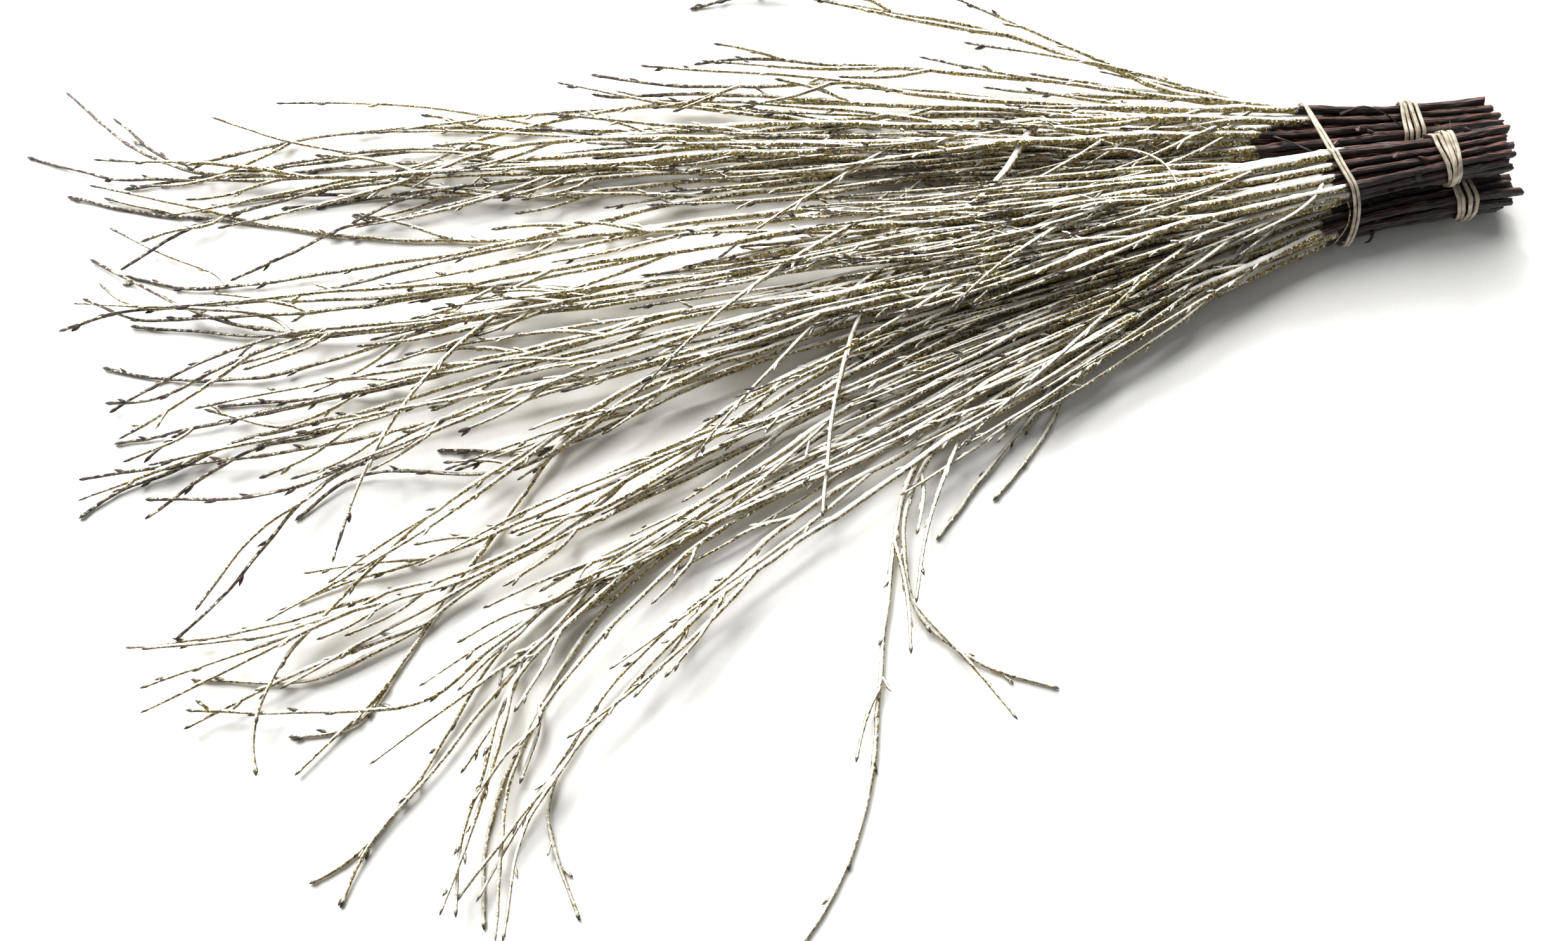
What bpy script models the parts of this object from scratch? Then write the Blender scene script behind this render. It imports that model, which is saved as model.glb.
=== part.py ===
"""A bundle of frosted birch-like twigs, lying on a table.

Three small bundles of stems are each held near their cut ends by a wound rubber band, and a larger
rubber band ties the three together.  Past that band the twigs fan out and sink to the table.
One broken twig lies loose on top.  Units are metres, +Z is up, and +X points to the cut ends.
"""

import math
import random

import bmesh
import bpy
import numpy as np
from mathutils import Matrix, Vector

MM = 0.001

# Thickness of the twigs
BUTT_RADIUS = (1.45 * MM, 1.95 * MM)
TIP_RADIUS = 0.55 * MM
SHOOT_RADIUS = 0.80 * MM
SHOOT_TIP_RADIUS = 0.50 * MM
LOOSE_RADIUS = 1.60 * MM
STEM_STEPS = 6
STEM_ROUNDNESS = 1
SHOOT_STEPS = 2
SHOOT_ROUNDNESS = 0
CLEARANCE = 0.45 * MM
BEND_WORTH = 90.0 * MM

# The routes below are read off a level plan this high above the table, seen from the viewpoint,
# so a stretch that lies higher or lower keeps to the same line of sight.
PLAN_HEIGHT = 10.0 * MM
VIEWPOINT = (0.0, -171.0 * MM, 470.0 * MM)

# The three tied bundles: middle of the stems at the cut ends, at their own band and at the big tie
# (x, y, height in mm), then how far the section is spread sideways and flattened at the big tie.
BUNDLES = {
    "back": {
        "butt": (315, 164, 9.0), "band": (279, 160, 8.9), "tie": (238, 157, 9.5),
        "tie_spread": (1.5, 0.85),
    },
    "front": {
        "butt": (315, 129, 9.0), "band": (294, 126, 8.9), "tie": (240, 113, 9.0),
        "tie_spread": (1.1, 0.9),
    },
    "upper": {
        "butt": (308, 137, 26.6), "band": (282, 132, 26.0), "tie": (242, 126, 23.5),
        "tie_spread": (1.4, 0.9),
    },
}
STEM_ROWS = (4, 5, 5, 4)
ROW_PITCH = 3.35 * MM
STEM_PITCH = 3.75 * MM
BUTT_STAGGER = 5.0 * MM

# Rubber bands
BAND_WIDTH = 7.0 * MM
BAND_THICKNESS = 1.3 * MM
RIM_POINTS = 6
CLOSEST_BAND_POINTS = 0.8 * MM
BIG_BAND_WIDTH = 4.4 * MM
BIG_BAND_THICKNESS = 1.2 * MM
BIG_BAND_PLACE = (236.0 * MM, 140.0 * MM)
TIE_RUN = 24.0
BIG_BAND_TURN = math.radians(6.6)
BAND_CLEARANCE = 0.35 * MM
UNDER_BANDS = 2.2 * MM

# Colours
FROST = (0.34, 0.33, 0.26)
RUBBER = (0.55, 0.50, 0.42)

# Plan route of each twig past the big tie, in mm, as read by eye from bundle to tip
ROUTES = {
    "back": (
        ((180, 177), (150, 192), (127, 200), (90, 214), (48, 224), (-5, 233), (-25, 230), (-44, 225)),
        ((177, 177), (123, 184), (93, 187), (50, 194), (17, 194), (-17, 196), (-41, 193)),
        ((65, 176), (33, 184), (0, 183), (-57, 182), (-88, 187)),
        ((60, 171), (0, 176), (-50, 177), (-75, 175), (-87, 177)),
        ((27, 156), (-3, 167), (-47, 172), (-87, 167), (-112, 160), (-150, 150), (-195, 143), (-289, 127)),
        ((90, 167), (17, 163), (-88, 158), (-168, 159), (-217, 153), (-245, 145), (-267, 140), (-301, 164)),
        ((-33, 145), (-110, 140), (-150, 137), (-222, 134), (-262, 137), (-298, 155), (-325, 178)),
        ((-70, 147), (-150, 138), (-222, 132), (-272, 133), (-293, 132), (-314, 137), (-335, 144)),
        ((-60, 158), (-108, 153), (-140, 148), (-175, 147), (-230, 139), (-262, 134)),
        ((-67, 142), (-100, 139), (-143, 141), (-200, 138), (-245, 134)),
        ((110, 132), (20, 118), (-50, 110), (-110, 102), (-158, 102), (-200, 106), (-247, 112), (-272, 114), (-313, 124)),
        ((-110, 150), (-150, 140), (-193, 131), (-220, 122), (-257, 107), (-283, 87)),
        ((110, 142), (-17, 133), (-83, 127), (-150, 123), (-200, 125), (-225, 122), (-243, 119)),
        ((-60, 140), (-93, 135), (-125, 130), (-195, 121), (-219, 118)),
        ((-93, 132), (-133, 125), (-168, 112), (-190, 107), (-205, 98), (-236, 83)),
        ((110, 137), (20, 129), (-50, 121), (-100, 106), (-137, 95), (-183, 88), (-230, 81), (-253, 79), (-281, 84)),
        ((-40, 140), (-110, 132), (-167, 122), (-188, 111)),
        ((20, 150), (-57, 152), (-97, 158), (-120, 159)),
    ),
    "upper": (
        ((110, 112), (20, 100), (-50, 85), (-110, 70), (-173, 58), (-233, 62), (-263, 74), (-297, 93)),
        ((110, 117), (20, 107), (-50, 97), (-95, 87), (-142, 80), (-187, 72), (-250, 71), (-278, 68), (-303, 57)),
        ((-70, 92), (-130, 78), (-190, 68), (-240, 66), (-272, 64), (-297, 73)),
        ((110, 104), (0, 86), (-110, 66), (-160, 60), (-220, 56), (-257, 58), (-274, 60)),
        ((-110, 72), (-155, 57), (-195, 42), (-217, 37), (-255, 37), (-282, 42)),
        ((-150, 62), (-205, 55), (-235, 40), (-258, 27), (-278, 26)),
        ((-150, 65), (-205, 57), (-233, 48), (-260, 34), (-276, 22)),
        ((-110, 50), (-150, 38), (-200, 25), (-250, 11), (-271, 8)),
        ((-100, 52), (-150, 36), (-205, 26), (-232, 24)),
        ((-100, 50), (-170, 32), (-225, 18), (-247, 12), (-258, 0)),
        ((-110, 42), (-173, 22), (-220, 9), (-252, -8), (-263, -11), (-279, -24)),
        ((-100, 42), (-150, 25), (-190, 11), (-217, 4), (-253, -24)),
        ((-47, 55), (-100, 33), (-150, 13), (-183, -4), (-212, -14), (-254, -17)),
        ((-47, 48), (-132, 22), (-150, 7), (-183, -8), (-205, -35), (-214, -50), (-233, -72)),
        ((-50, 35), (-95, 4), (-120, -5), (-150, -5), (-173, -7), (-194, -24)),
        ((-100, 30), (-180, 8), (-242, -1), (-282, -8)),
        ((-20, 40), (-85, 10), (-100, 5), (-140, 4)),
        ((110, 123), (20, 114), (-80, 104), (-158, 90), (-178, 82), (-203, 75)),
    ),
    "front": (
        ((130, 84), (50, 57), (-30, 12), (-110, -38), (-150, -53), (-187, -65), (-230, -72), (-251, -75)),
        ((130, 80), (50, 51), (-30, 5), (-110, -42), (-167, -60), (-200, -72), (-245, -77)),
        ((130, 88), (50, 63), (-20, 24), (-80, -15), (-133, -37), (-173, -52), (-188, -59)),
        ((120, 92), (40, 72), (-25, 49), (-75, 25), (-133, -17), (-167, -50), (-190, -80), (-197, -107), (-194, -123)),
        ((130, 76), (50, 45), (-30, -3), (-110, -43), (-145, -72), (-180, -89), (-192, -89), (-224, -87)),
        ((130, 73), (50, 38), (-10, -2), (-60, -35), (-110, -75), (-135, -96), (-168, -99), (-224, -99)),
        ((120, 95), (30, 75), (-50, 40), (-85, 13), (-110, -22), (-133, -57), (-145, -83), (-160, -107), (-184, -110)),
        ((130, 70), (50, 33), (-15, -10), (-80, -50), (-107, -77), (-132, -120), (-157, -152), (-170, -160)),
        ((130, 66), (50, 27), (-20, -18), (-80, -60), (-110, -93), (-133, -127), (-149, -147), (-157, -169)),
        ((130, 64), (50, 22), (-10, -16), (-70, -52), (-104, -92), (-109, -118), (-117, -150), (-117, -172)),
        ((130, 60), (50, 18), (-27, -25), (-68, -60), (-95, -103), (-107, -142), (-105, -176)),
        ((130, 58), (50, 13), (-40, -40), (-80, -83), (-100, -127), (-103, -160), (-103, -188)),
        ((67, 10), (33, -15), (-27, -57), (-60, -92), (-88, -128), (-117, -167)),
        ((17, -15), (-17, -42), (-66, -92), (-87, -135), (-82, -152), (-72, -173)),
        ((90, 40), (50, -7), (40, -57), (31, -130), (17, -165), (0, -188)),
        ((75, 20), (53, -10), (47, -32), (50, -62), (72, -81), (104, -90)),
        ((126, 52), (118, 40), (103, 8), (84, -17)),
        ((123, 50), (102, 18), (88, 2), (59, -32)),
    ),
}

# Side shoots: the bundle and number of the twig that carries it, then its plan route
SHOOTS = (
    ("back", 3, ((-20, 182), (-36, 174), (-50, 168))),
    ("back", 9, ((-192, 148), (-223, 153), (-257, 165))),
    ("back", 11, ((-262, 113), (-280, 118), (-297, 123))),
    ("back", 12, ((-245, 112), (-262, 108), (-277, 101))),
    ("back", 16, ((-237, 81), (-270, 97), (-292, 108))),
    ("back", 5, ((193, 163), (160, 142), (110, 103))),
    ("back", 1, ((212, 168), (182, 156), (152, 142))),
    ("upper", 2, ((-262, 68), (-280, 72), (-291, 81))),
    ("upper", 10, ((-240, 13), (-252, 7), (-266, 0))),
    ("upper", 11, ((-200, 14), (-218, 18), (-237, 23))),
    ("upper", 14, ((-183, -8), (-207, -28), (-227, -61))),
    ("upper", 4, ((229, 128), (217, 112), (193, 93))),
    ("upper", 17, ((177, 118), (150, 121), (122, 128))),
    ("front", 4, ((-133, -17), (-158, -34), (-177, -50))),
    ("front", 5, ((-110, -43), (-150, -67), (-190, -91))),
    ("front", 6, ((-60, -35), (-90, -47), (-116, -60))),
    ("front", 7, ((-150, -90), (-168, -110), (-180, -123))),
    ("front", 8, ((-100, -66), (-113, -80), (-123, -92))),
    ("front", 13, ((-80, -112), (-94, -140), (-99, -180))),
    ("front", 14, ((5, -20), (-8, -26), (-20, -32))),
    ("front", 16, ((71, 12), (58, -22), (51, -58))),
    ("front", 7, ((142, 92), (103, 103), (70, 115))),
)

# The broken twig that lies on top, from its thick end
LOOSE_ROUTE = (
    (112, 159), (93, 130), (60, 100), (35, 71), (27, 50), (20, 20), (15, -23),
)
LOOSE_START_HEIGHT = 34.0 * MM

# Side shoots that follow the growth rule: alternate, leaving at a small angle
RULE_SHOOTS_AT = (0.66, 0.80)
RULE_SHOOT_SCATTER = 0.05
RULE_SHOOT_LENGTH = (26.0 * MM, 48.0 * MM)
MOST_SHOOTS = 2
CLOSEST_SHOOTS = 25.0 * MM
RULE_SHOOT_ANGLE = math.radians(20.0)
TIP_TURN_SHARE = 0.4
LOOK_AHEAD = 20.0 * MM

# Where a shoot may leave, as shares of the free run, and how it starts
SHOOTS_BETWEEN = (0.02, 0.98)
SHOOT_ROOT_SHARE = 0.85
SHOOT_RISE = 1.5 * MM

# How high the twigs stand off the table between the tie and their tips
LOFT = 9.0 * MM
LIFT_SHARE = (0.2, 1.0)
TIP_LIFT = (-4.0 * MM, 9.0 * MM)
SINK_POWER = 1.3
ARCH_POWER = 0.8
TAPER_POWER = 0.9

# Settling of the pile: shares are of the way left, taken in each round
ROUNDS = 1500
LAST_ROUNDS = 1200
NEAR = 9.0 * MM
NEAR_EVERY = 20
HELD_BY_BANDS = (0.8, 0.9, 0.8)
SIDEWAYS_PULL = 0.02
HELD_SIDEWAYS_PULL = 0.25
SINKING = 0.03
HELD_SINKING = 0.2
STIFFNESS = 0.06
FREE_SIDEWAYS = 0.25
HELD_SIDEWAYS = 0.6
UPWARD = 0.15
PUSH = 1.3
FLOOR_GAP = 0.02 * MM


def smooth_route(points, per_span=8):
    """Points on a centripetal Catmull-Rom curve through the given ones."""
    ends = [2 * points[0] - points[1], *points, 2 * points[-1] - points[-2]]
    curve = []
    for a, b, c, d in zip(ends, ends[1:], ends[2:], ends[3:]):
        t1 = (b - a).length ** 0.5
        t2 = t1 + (c - b).length ** 0.5
        t3 = t2 + (d - c).length ** 0.5
        for step in range(per_span):
            t = t1 + (t2 - t1) * step / per_span
            ab = a.lerp(b, t / t1)
            bc = b.lerp(c, (t - t1) / (t2 - t1))
            cd = c.lerp(d, (t - t2) / (t3 - t2))
            curve.append(ab.lerp(bc, t / t2).lerp(bc.lerp(cd, (t - t1) / (t3 - t1)), (t - t1) / (t2 - t1)))
    curve.append(points[-1].copy())
    return curve


def lengths_along(points):
    """Distance of each point from the first, along the line."""
    total = [0.0]
    for a, b in zip(points, points[1:]):
        total.append(total[-1] + (b - a).length)
    return total


def even_steps(points, lengths, first, count):
    """Distances that split the line past the first one into steps, shorter where it bends more."""
    start = next(i for i, length in enumerate(lengths) if length >= first)
    effort = [0.0]
    for i in range(start, len(points) - 1):
        bend = 0.0
        if i > start:
            bend = abs((points[i] - points[i - 1]).angle_signed(points[i + 1] - points[i], 0.0))
        effort.append(effort[-1] + (lengths[i + 1] - lengths[i]) + bend * BEND_WORTH)
    steps = []
    for step in range(1, count + 1):
        wanted = effort[-1] * step / count
        i = next((i for i, value in enumerate(effort) if value >= wanted - 1e-9), len(effort) - 1)
        span = effort[i] - effort[i - 1]
        share = (wanted - effort[i - 1]) / span
        steps.append(lengths[start + i - 1] + (lengths[start + i] - lengths[start + i - 1]) * min(share, 1.0))
    return steps


def at_length(points, lengths, wanted):
    """The point this far along the line."""
    for i in range(len(points) - 1):
        if wanted <= lengths[i + 1] or i == len(points) - 2:
            span = max(lengths[i + 1] - lengths[i], 1e-9)
            return points[i].lerp(points[i + 1], min((wanted - lengths[i]) / span, 1.0))
    return points[-1]


def bundle_slots():
    """Sideways and upward place of each stem in a tied bundle's section."""
    slots = []
    for row, count in enumerate(STEM_ROWS):
        up = (row - (len(STEM_ROWS) - 1) / 2) * ROW_PITCH
        slots += [((i - (count - 1) / 2) * STEM_PITCH, up) for i in range(count)]
    return slots


def slots_by_route(bundle):
    """Gives each twig the slot on the side that its route leaves to."""
    order = sorted(range(len(ROUTES[bundle])), key=lambda i: route_side(ROUTES[bundle][i]))
    slots = sorted(bundle_slots())
    return {twig: slots[place] for place, twig in enumerate(order)}


def route_side(route):
    """How steeply a route leaves the big tie towards the back."""
    tie_x, tie_y = (value / MM for value in BIG_BAND_PLACE)
    x, y = route[0]
    return (y - tie_y) / (tie_x + TIE_RUN - x)


class Pile:
    """All limbs of all twigs as lines of points, and the rule that keeps them from meeting."""

    def __init__(self):
        self.places, self.heights, self.radii = [], [], []
        self.twigs, self.held, self.segments, self.limbs, self.joints = [], [], [], [], []

    def add_limb(self, twig, places, heights, radii, held, joint=None):
        start = len(self.places)
        count = len(places)
        self.places += places
        self.heights += heights
        self.radii += radii
        self.held += held
        self.twigs += [twig] * count
        self.segments += [(start + i, start + i + 1) for i in range(count - 1)]
        self.limbs.append((twig, start, count))
        if joint:
            self.joints.append((start, *joint))
        return start

    def closest(self, at, one, two):
        """For pairs of segments: how far along each their closest points are, and the way between."""
        a, b = at[self.ends[one, 0]], at[self.ends[one, 1]]
        c, d = at[self.ends[two, 0]], at[self.ends[two, 1]]
        u, v, w = b - a, d - c, a - c
        uu, vv, uv = (u * u).sum(1), (v * v).sum(1), (u * v).sum(1)
        uw, vw = (u * w).sum(1), (v * w).sum(1)
        flat = uu * vv - uv * uv
        s = np.clip(np.where(flat > 1e-16, (uv * vw - vv * uw) / np.maximum(flat, 1e-16), 0.5), 0, 1)
        t = np.clip((uv * s + vw) / vv, 0, 1)
        s = np.clip((uv * t - uw) / uu, 0, 1)
        return s, t, (a + u * s[:, None]) - (c + v * t[:, None])

    def near_pairs(self, at):
        low = np.minimum(at[self.ends[:, 0]], at[self.ends[:, 1]]) - NEAR / 2
        high = np.maximum(at[self.ends[:, 0]], at[self.ends[:, 1]]) + NEAR / 2
        one, two = self.all_pairs
        keep = ((low[one] < high[two]) & (low[two] < high[one])).all(1)
        return one[keep], two[keep]

    def settle(self):
        """Lets the limbs sink towards the table and pushes apart those that would meet."""
        self.plan = np.array(self.places)
        self.radius = np.array(self.radii)
        self.hold = np.array(self.held)
        self.ends = np.array(self.segments)
        self.chain = self.chains()
        twig = np.array(self.twigs)
        one, two = np.triu_indices(len(self.ends), 1)
        apart = twig[self.ends[one, 0]] != twig[self.ends[two, 0]]
        self.all_pairs = (one[apart], two[apart])
        rest = np.array(self.heights)
        at = np.empty((len(self.plan), 3))
        at[:, 2] = rest
        at[:, :2] = self.on_sight_lines(at[:, 2])
        rest[twig == "twig_loose"] = 0.0
        roots = np.array([row[:3] for row in self.joints])
        share = np.array([row[3] for row in self.joints])[:, None]
        floor = self.radius + FLOOR_GAP + (self.hold > 0) * UNDER_BANDS
        for turn in range(ROUNDS + LAST_ROUNDS):
            if turn % NEAR_EVERY == 0:
                one, two = self.near_pairs(at)
            if turn < ROUNDS:
                self.sink(at, rest, 1.0 - turn / ROUNDS)
            met = self.push_apart(at, one, two)
            if turn >= ROUNDS and not met:
                break
            at[roots[:, 0]] = at[roots[:, 1]] * (1 - share) + at[roots[:, 2]] * share
            at[:, 2] = np.maximum(at[:, 2], floor)
        self.at = at

    def sink(self, at, rest, ease):
        """One round's move towards the read routes and the rest heights, with the limbs' own stiffness."""
        hold = self.hold
        pull = SIDEWAYS_PULL + HELD_SIDEWAYS_PULL * hold
        at[:, :2] += pull[:, None] * (self.on_sight_lines(at[:, 2]) - at[:, :2])
        at[:, 2] += (SINKING * ease + HELD_SINKING * hold) * (rest - at[:, 2])
        inner, before, after = self.chain
        straight = (at[before, 2] + at[after, 2]) / 2
        at[inner, 2] += STIFFNESS * (1 - hold[inner]) * (straight - at[inner, 2])

    def push_apart(self, at, one, two):
        """One round's move of the limbs that are nearer than the clearance; says if there were any."""
        s, t, way = self.closest(at, one, two)
        distance = np.sqrt((way * way).sum(1)) + 1e-12
        ends_one, ends_two = self.ends[one], self.ends[two]
        thick = self.radius[ends_one[:, 0]] * (1 - s) + self.radius[ends_one[:, 1]] * s
        thick += self.radius[ends_two[:, 0]] * (1 - t) + self.radius[ends_two[:, 1]] * t
        lack = thick + CLEARANCE - distance
        hit = lack > 0
        if not hit.any():
            return False
        s, t, lack, ends_one, ends_two = s[hit], t[hit], lack[hit], ends_one[hit], ends_two[hit]
        way = way[hit] / distance[hit][:, None]
        hold = np.maximum(self.hold[ends_one[:, 0]], self.hold[ends_two[:, 0]])
        way[:, :2] *= (FREE_SIDEWAYS + HELD_SIDEWAYS * hold)[:, None]
        way[:, 2] += np.where(way[:, 2] >= 0, UPWARD, -UPWARD)
        way /= np.sqrt((way * way).sum(1))[:, None]
        push = way * (lack * 0.5)[:, None]
        total = np.zeros_like(at)
        weight = np.ones(len(at))
        for points, part in (
            (ends_one[:, 0], 1 - s), (ends_one[:, 1], s), (ends_two[:, 0], t - 1), (ends_two[:, 1], -t),
        ):
            np.add.at(total, points, push * part[:, None])
            np.add.at(weight, points, np.abs(part))
        at += PUSH * total / np.maximum(weight - 1.0, 1.0)[:, None]
        return True

    def on_sight_lines(self, height):
        """Where the read places lie at these heights."""
        share = ((VIEWPOINT[2] - height) / (VIEWPOINT[2] - PLAN_HEIGHT))[:, None]
        eye = np.array(VIEWPOINT[:2])
        return eye + (self.plan - eye) * share

    def chains(self):
        inner, before, after = [], [], []
        for _, start, count in self.limbs:
            for i in range(start + 1, start + count - 1):
                inner.append(i)
                before.append(i - 1)
                after.append(i + 1)
        return np.array(inner), np.array(before), np.array(after)


def plan_place(real):
    """The plan reading of a real point."""
    share = (VIEWPOINT[2] - PLAN_HEIGHT) / (VIEWPOINT[2] - real[2])
    return (
        VIEWPOINT[0] + (real[0] - VIEWPOINT[0]) * share,
        VIEWPOINT[1] + (real[1] - VIEWPOINT[1]) * share,
    )


def add_stem(pile, bundle, number, slot, dice):
    """One stem from its cut end, through its band and the big tie, to its tip."""
    form = BUNDLES[bundle]
    name = f"twig_{bundle}_{number:02d}"
    butt, band, tie = (Vector(form[key]) * MM for key in ("butt", "band", "tie"))
    side, up = slot
    spread, flat = form["tie_spread"]
    stagger = dice.uniform(-1, 1) * BUTT_STAGGER
    first = (butt.x + stagger, butt.y + side, butt.z + up)
    second = (band.x, band.y + side, band.z + up)
    third = (tie.x, tie.y + side * spread, tie.z + up * flat)
    plan = [Vector((x * MM, y * MM)) for x, y in ROUTES[bundle][number - 1]]
    free = smooth_route([Vector(plan_place(second)), Vector(plan_place(third)), *plan])
    lengths = lengths_along(free)
    tie_length = lengths[8]
    rest = lengths[-1] - tie_length
    lift = dice.uniform(*LIFT_SHARE)
    tip_height = TIP_RADIUS + dice.uniform(*TIP_LIFT)
    places = [plan_place(first), plan_place(second), plan_place(third)]
    heights = [first[2], second[2], third[2]]
    stations = [tie_length] + even_steps(free, lengths, tie_length, STEM_STEPS)
    for station in stations[1:]:
        share = (station - tie_length) / rest
        places.append(tuple(at_length(free, lengths, station)))
        sink = (1 - share) ** SINK_POWER
        arch = math.sin(math.pi * share ** ARCH_POWER) * LOFT * lift
        heights.append(tip_height + (third[2] - tip_height) * sink + arch)
    run = [0.0]
    for a, b in zip(places, places[1:]):
        run.append(run[-1] + math.dist(a, b))
    butt_radius = dice.uniform(*BUTT_RADIUS)
    radii = [butt_radius + (TIP_RADIUS - butt_radius) * (d / run[-1]) ** TAPER_POWER for d in run]
    held = [*HELD_BY_BANDS] + [0.0] * STEM_STEPS
    start = pile.add_limb(name, places, heights, radii, held)
    return {"name": name, "start": start, "free": free, "lengths": lengths, "tie_length": tie_length,
            "rest": rest, "stations": stations, "radii": radii, "heights": heights}


def add_shoot(pile, stem, route, length_at):
    """One side shoot, which leaves its stem where its route starts."""
    stations = stem["stations"]
    segment = max(i for i in range(STEM_STEPS) if stations[i] <= length_at)
    part = (length_at - stations[segment]) / (stations[segment + 1] - stations[segment])
    a = stem["start"] + 2 + segment
    line = smooth_route(route)
    lengths = lengths_along(line)
    stops = [0.0] + even_steps(line, lengths, 0.0, SHOOT_STEPS)
    places = [tuple(at_length(line, lengths, stop)) for stop in stops]
    low = stem["heights"][2 + segment] * (1 - part) + stem["heights"][3 + segment] * part
    heights = [low + SHOOT_RISE * i for i in range(SHOOT_STEPS + 1)]
    thick = stem["radii"][2 + segment] * (1 - part) + stem["radii"][3 + segment] * part
    root = min(SHOOT_RADIUS, thick * SHOOT_ROOT_SHARE)
    radii = [root + (SHOOT_TIP_RADIUS - root) * i / SHOOT_STEPS for i in range(SHOOT_STEPS + 1)]
    pile.add_limb(stem["name"], places, heights, radii, [0.0] * (SHOOT_STEPS + 1), (a, a + 1, part))


def nearest_length(stem, place):
    """How far along a stem's free run it comes closest to a place."""
    best = min(range(len(stem["free"])), key=lambda i: (stem["free"][i] - place).length)
    low, high = (stem["tie_length"] + share * stem["rest"] for share in SHOOTS_BETWEEN)
    return min(max(stem["lengths"][best], low), high)


def add_rule_shoots(pile, stem, dice, taken):
    """The shoots that follow the growth rule, on the side away from those read from the plan."""
    side = 1 if dice.random() < 0.5 else -1
    for share in RULE_SHOOTS_AT:
        side = -side
        scatter = dice.uniform(-RULE_SHOOT_SCATTER, RULE_SHOOT_SCATTER)
        length_at = stem["tie_length"] + stem["rest"] * (share + scatter)
        crowded = any(abs(length_at - other) < CLOSEST_SHOOTS for other in taken)
        if crowded or len(taken) >= MOST_SHOOTS:
            continue
        taken.append(length_at)
        root = at_length(stem["free"], stem["lengths"], length_at)
        ahead = at_length(stem["free"], stem["lengths"], length_at + LOOK_AHEAD)
        along = (ahead - root).normalized()
        length = dice.uniform(*RULE_SHOOT_LENGTH)
        half = root + Matrix.Rotation(side * RULE_SHOOT_ANGLE, 2) @ along * length / 2
        tip = half + Matrix.Rotation(side * RULE_SHOOT_ANGLE * TIP_TURN_SHARE, 2) @ along * length / 2
        add_shoot(pile, stem, [root, half, tip], length_at)


def add_loose_twig(pile):
    """The broken twig, let down on the pile from just above it."""
    line = smooth_route([Vector((x * MM, y * MM)) for x, y in LOOSE_ROUTE])
    lengths = lengths_along(line)
    stops = [0.0] + even_steps(line, lengths, 0.0, STEM_STEPS)
    places = [tuple(at_length(line, lengths, stop)) for stop in stops]
    radii = [LOOSE_RADIUS + (TIP_RADIUS - LOOSE_RADIUS) * stop / lengths[-1] for stop in stops]
    heights = [LOOSE_START_HEIGHT] * len(places)
    pile.add_limb("twig_loose", places, heights, radii, [0.0] * len(places))


def build_pile():
    """Every limb of every twig, settled on the table."""
    pile = Pile()
    for bundle in ROUTES:
        slots = slots_by_route(bundle)
        for index in range(len(ROUTES[bundle])):
            dice = random.Random(f"{bundle} {index}")
            stem = add_stem(pile, bundle, index + 1, slots[index], dice)
            taken = []
            for owner, number, route in SHOOTS:
                if (owner, number) != (bundle, index + 1):
                    continue
                read = [Vector((x * MM, y * MM)) for x, y in route]
                length_at = nearest_length(stem, read[0])
                taken.append(length_at)
                root = at_length(stem["free"], stem["lengths"], length_at)
                add_shoot(pile, stem, [root, *read[1:]], length_at)
            add_rule_shoots(pile, stem, dice, taken)
    add_loose_twig(pile)
    pile.settle()
    return pile


def clear_scene():
    for thing in list(bpy.data.objects):
        bpy.data.objects.remove(thing, do_unlink=True)


def new_collection(name):
    made = bpy.data.collections.new(name)
    bpy.context.scene.collection.children.link(made)
    return made


def finish_of(name, colour, roughness):
    """A plain material in the piece's own colour."""
    made = bpy.data.materials.new(name)
    made.use_nodes = True
    shader = made.node_tree.nodes["Principled BSDF"]
    shader.inputs["Base Color"].default_value = (*colour, 1.0)
    shader.inputs["Roughness"].default_value = roughness
    shader.inputs["Metallic"].default_value = 0.0
    return made


def limb(name, places, radii, resolution, collection):
    """A tapering round limb as a closed mesh whose origin is at its thick end."""
    curve = bpy.data.curves.new(name, "CURVE")
    curve.dimensions = "3D"
    curve.bevel_depth = 1.0
    curve.bevel_resolution = resolution
    curve.use_fill_caps = True
    line = curve.splines.new("POLY")
    line.points.add(len(places) - 1)
    for point, place, radius in zip(line.points, places, radii):
        point.co = (*(place - places[0]), 1.0)
        point.radius = radius
    guide = bpy.data.objects.new(name + "_line", curve)
    guide.location = places[0]
    collection.objects.link(guide)
    bpy.context.view_layer.update()
    graph = bpy.context.evaluated_depsgraph_get()
    mesh = bpy.data.meshes.new_from_object(guide.evaluated_get(graph))
    weld(mesh)
    made = bpy.data.objects.new(name, mesh)
    made.matrix_world = guide.matrix_world
    collection.objects.link(made)
    bpy.data.objects.remove(guide)
    bpy.data.curves.remove(curve)
    return made


def weld(mesh):
    """Joins a curve's loose caps to its sides."""
    work = bmesh.new()
    work.from_mesh(mesh)
    bmesh.ops.remove_doubles(work, verts=work.verts, dist=0.001 * MM)
    bmesh.ops.recalc_face_normals(work, faces=work.faces)
    work.to_mesh(mesh)
    work.free()


def build_twigs(pile, shift, twigs, helpers):
    """Each twig as one solid: its stem, with its side shoots fused to it."""
    stems = {}
    for name, start, count in pile.limbs:
        places = [Vector(pile.at[i]) - shift for i in range(start, start + count)]
        radii = pile.radii[start:start + count]
        if name not in stems:
            stems[name] = limb(name, places, radii, STEM_ROUNDNESS, twigs)
            stems[name].data.materials.append(finish_of(name + "_frosted_bark", FROST, 0.6))
            continue
        number = len(stems[name].modifiers) + 1
        shoot = limb(f"{name}_shoot_{number}", places, radii, SHOOT_ROUNDNESS, helpers)
        shoot.hide_render = True
        shoot.display_type = "WIRE"
        join = stems[name].modifiers.new(f"shoot_{number}", "BOOLEAN")
        join.operation = "UNION"
        join.solver = "EXACT"
        join.object = shoot


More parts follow.
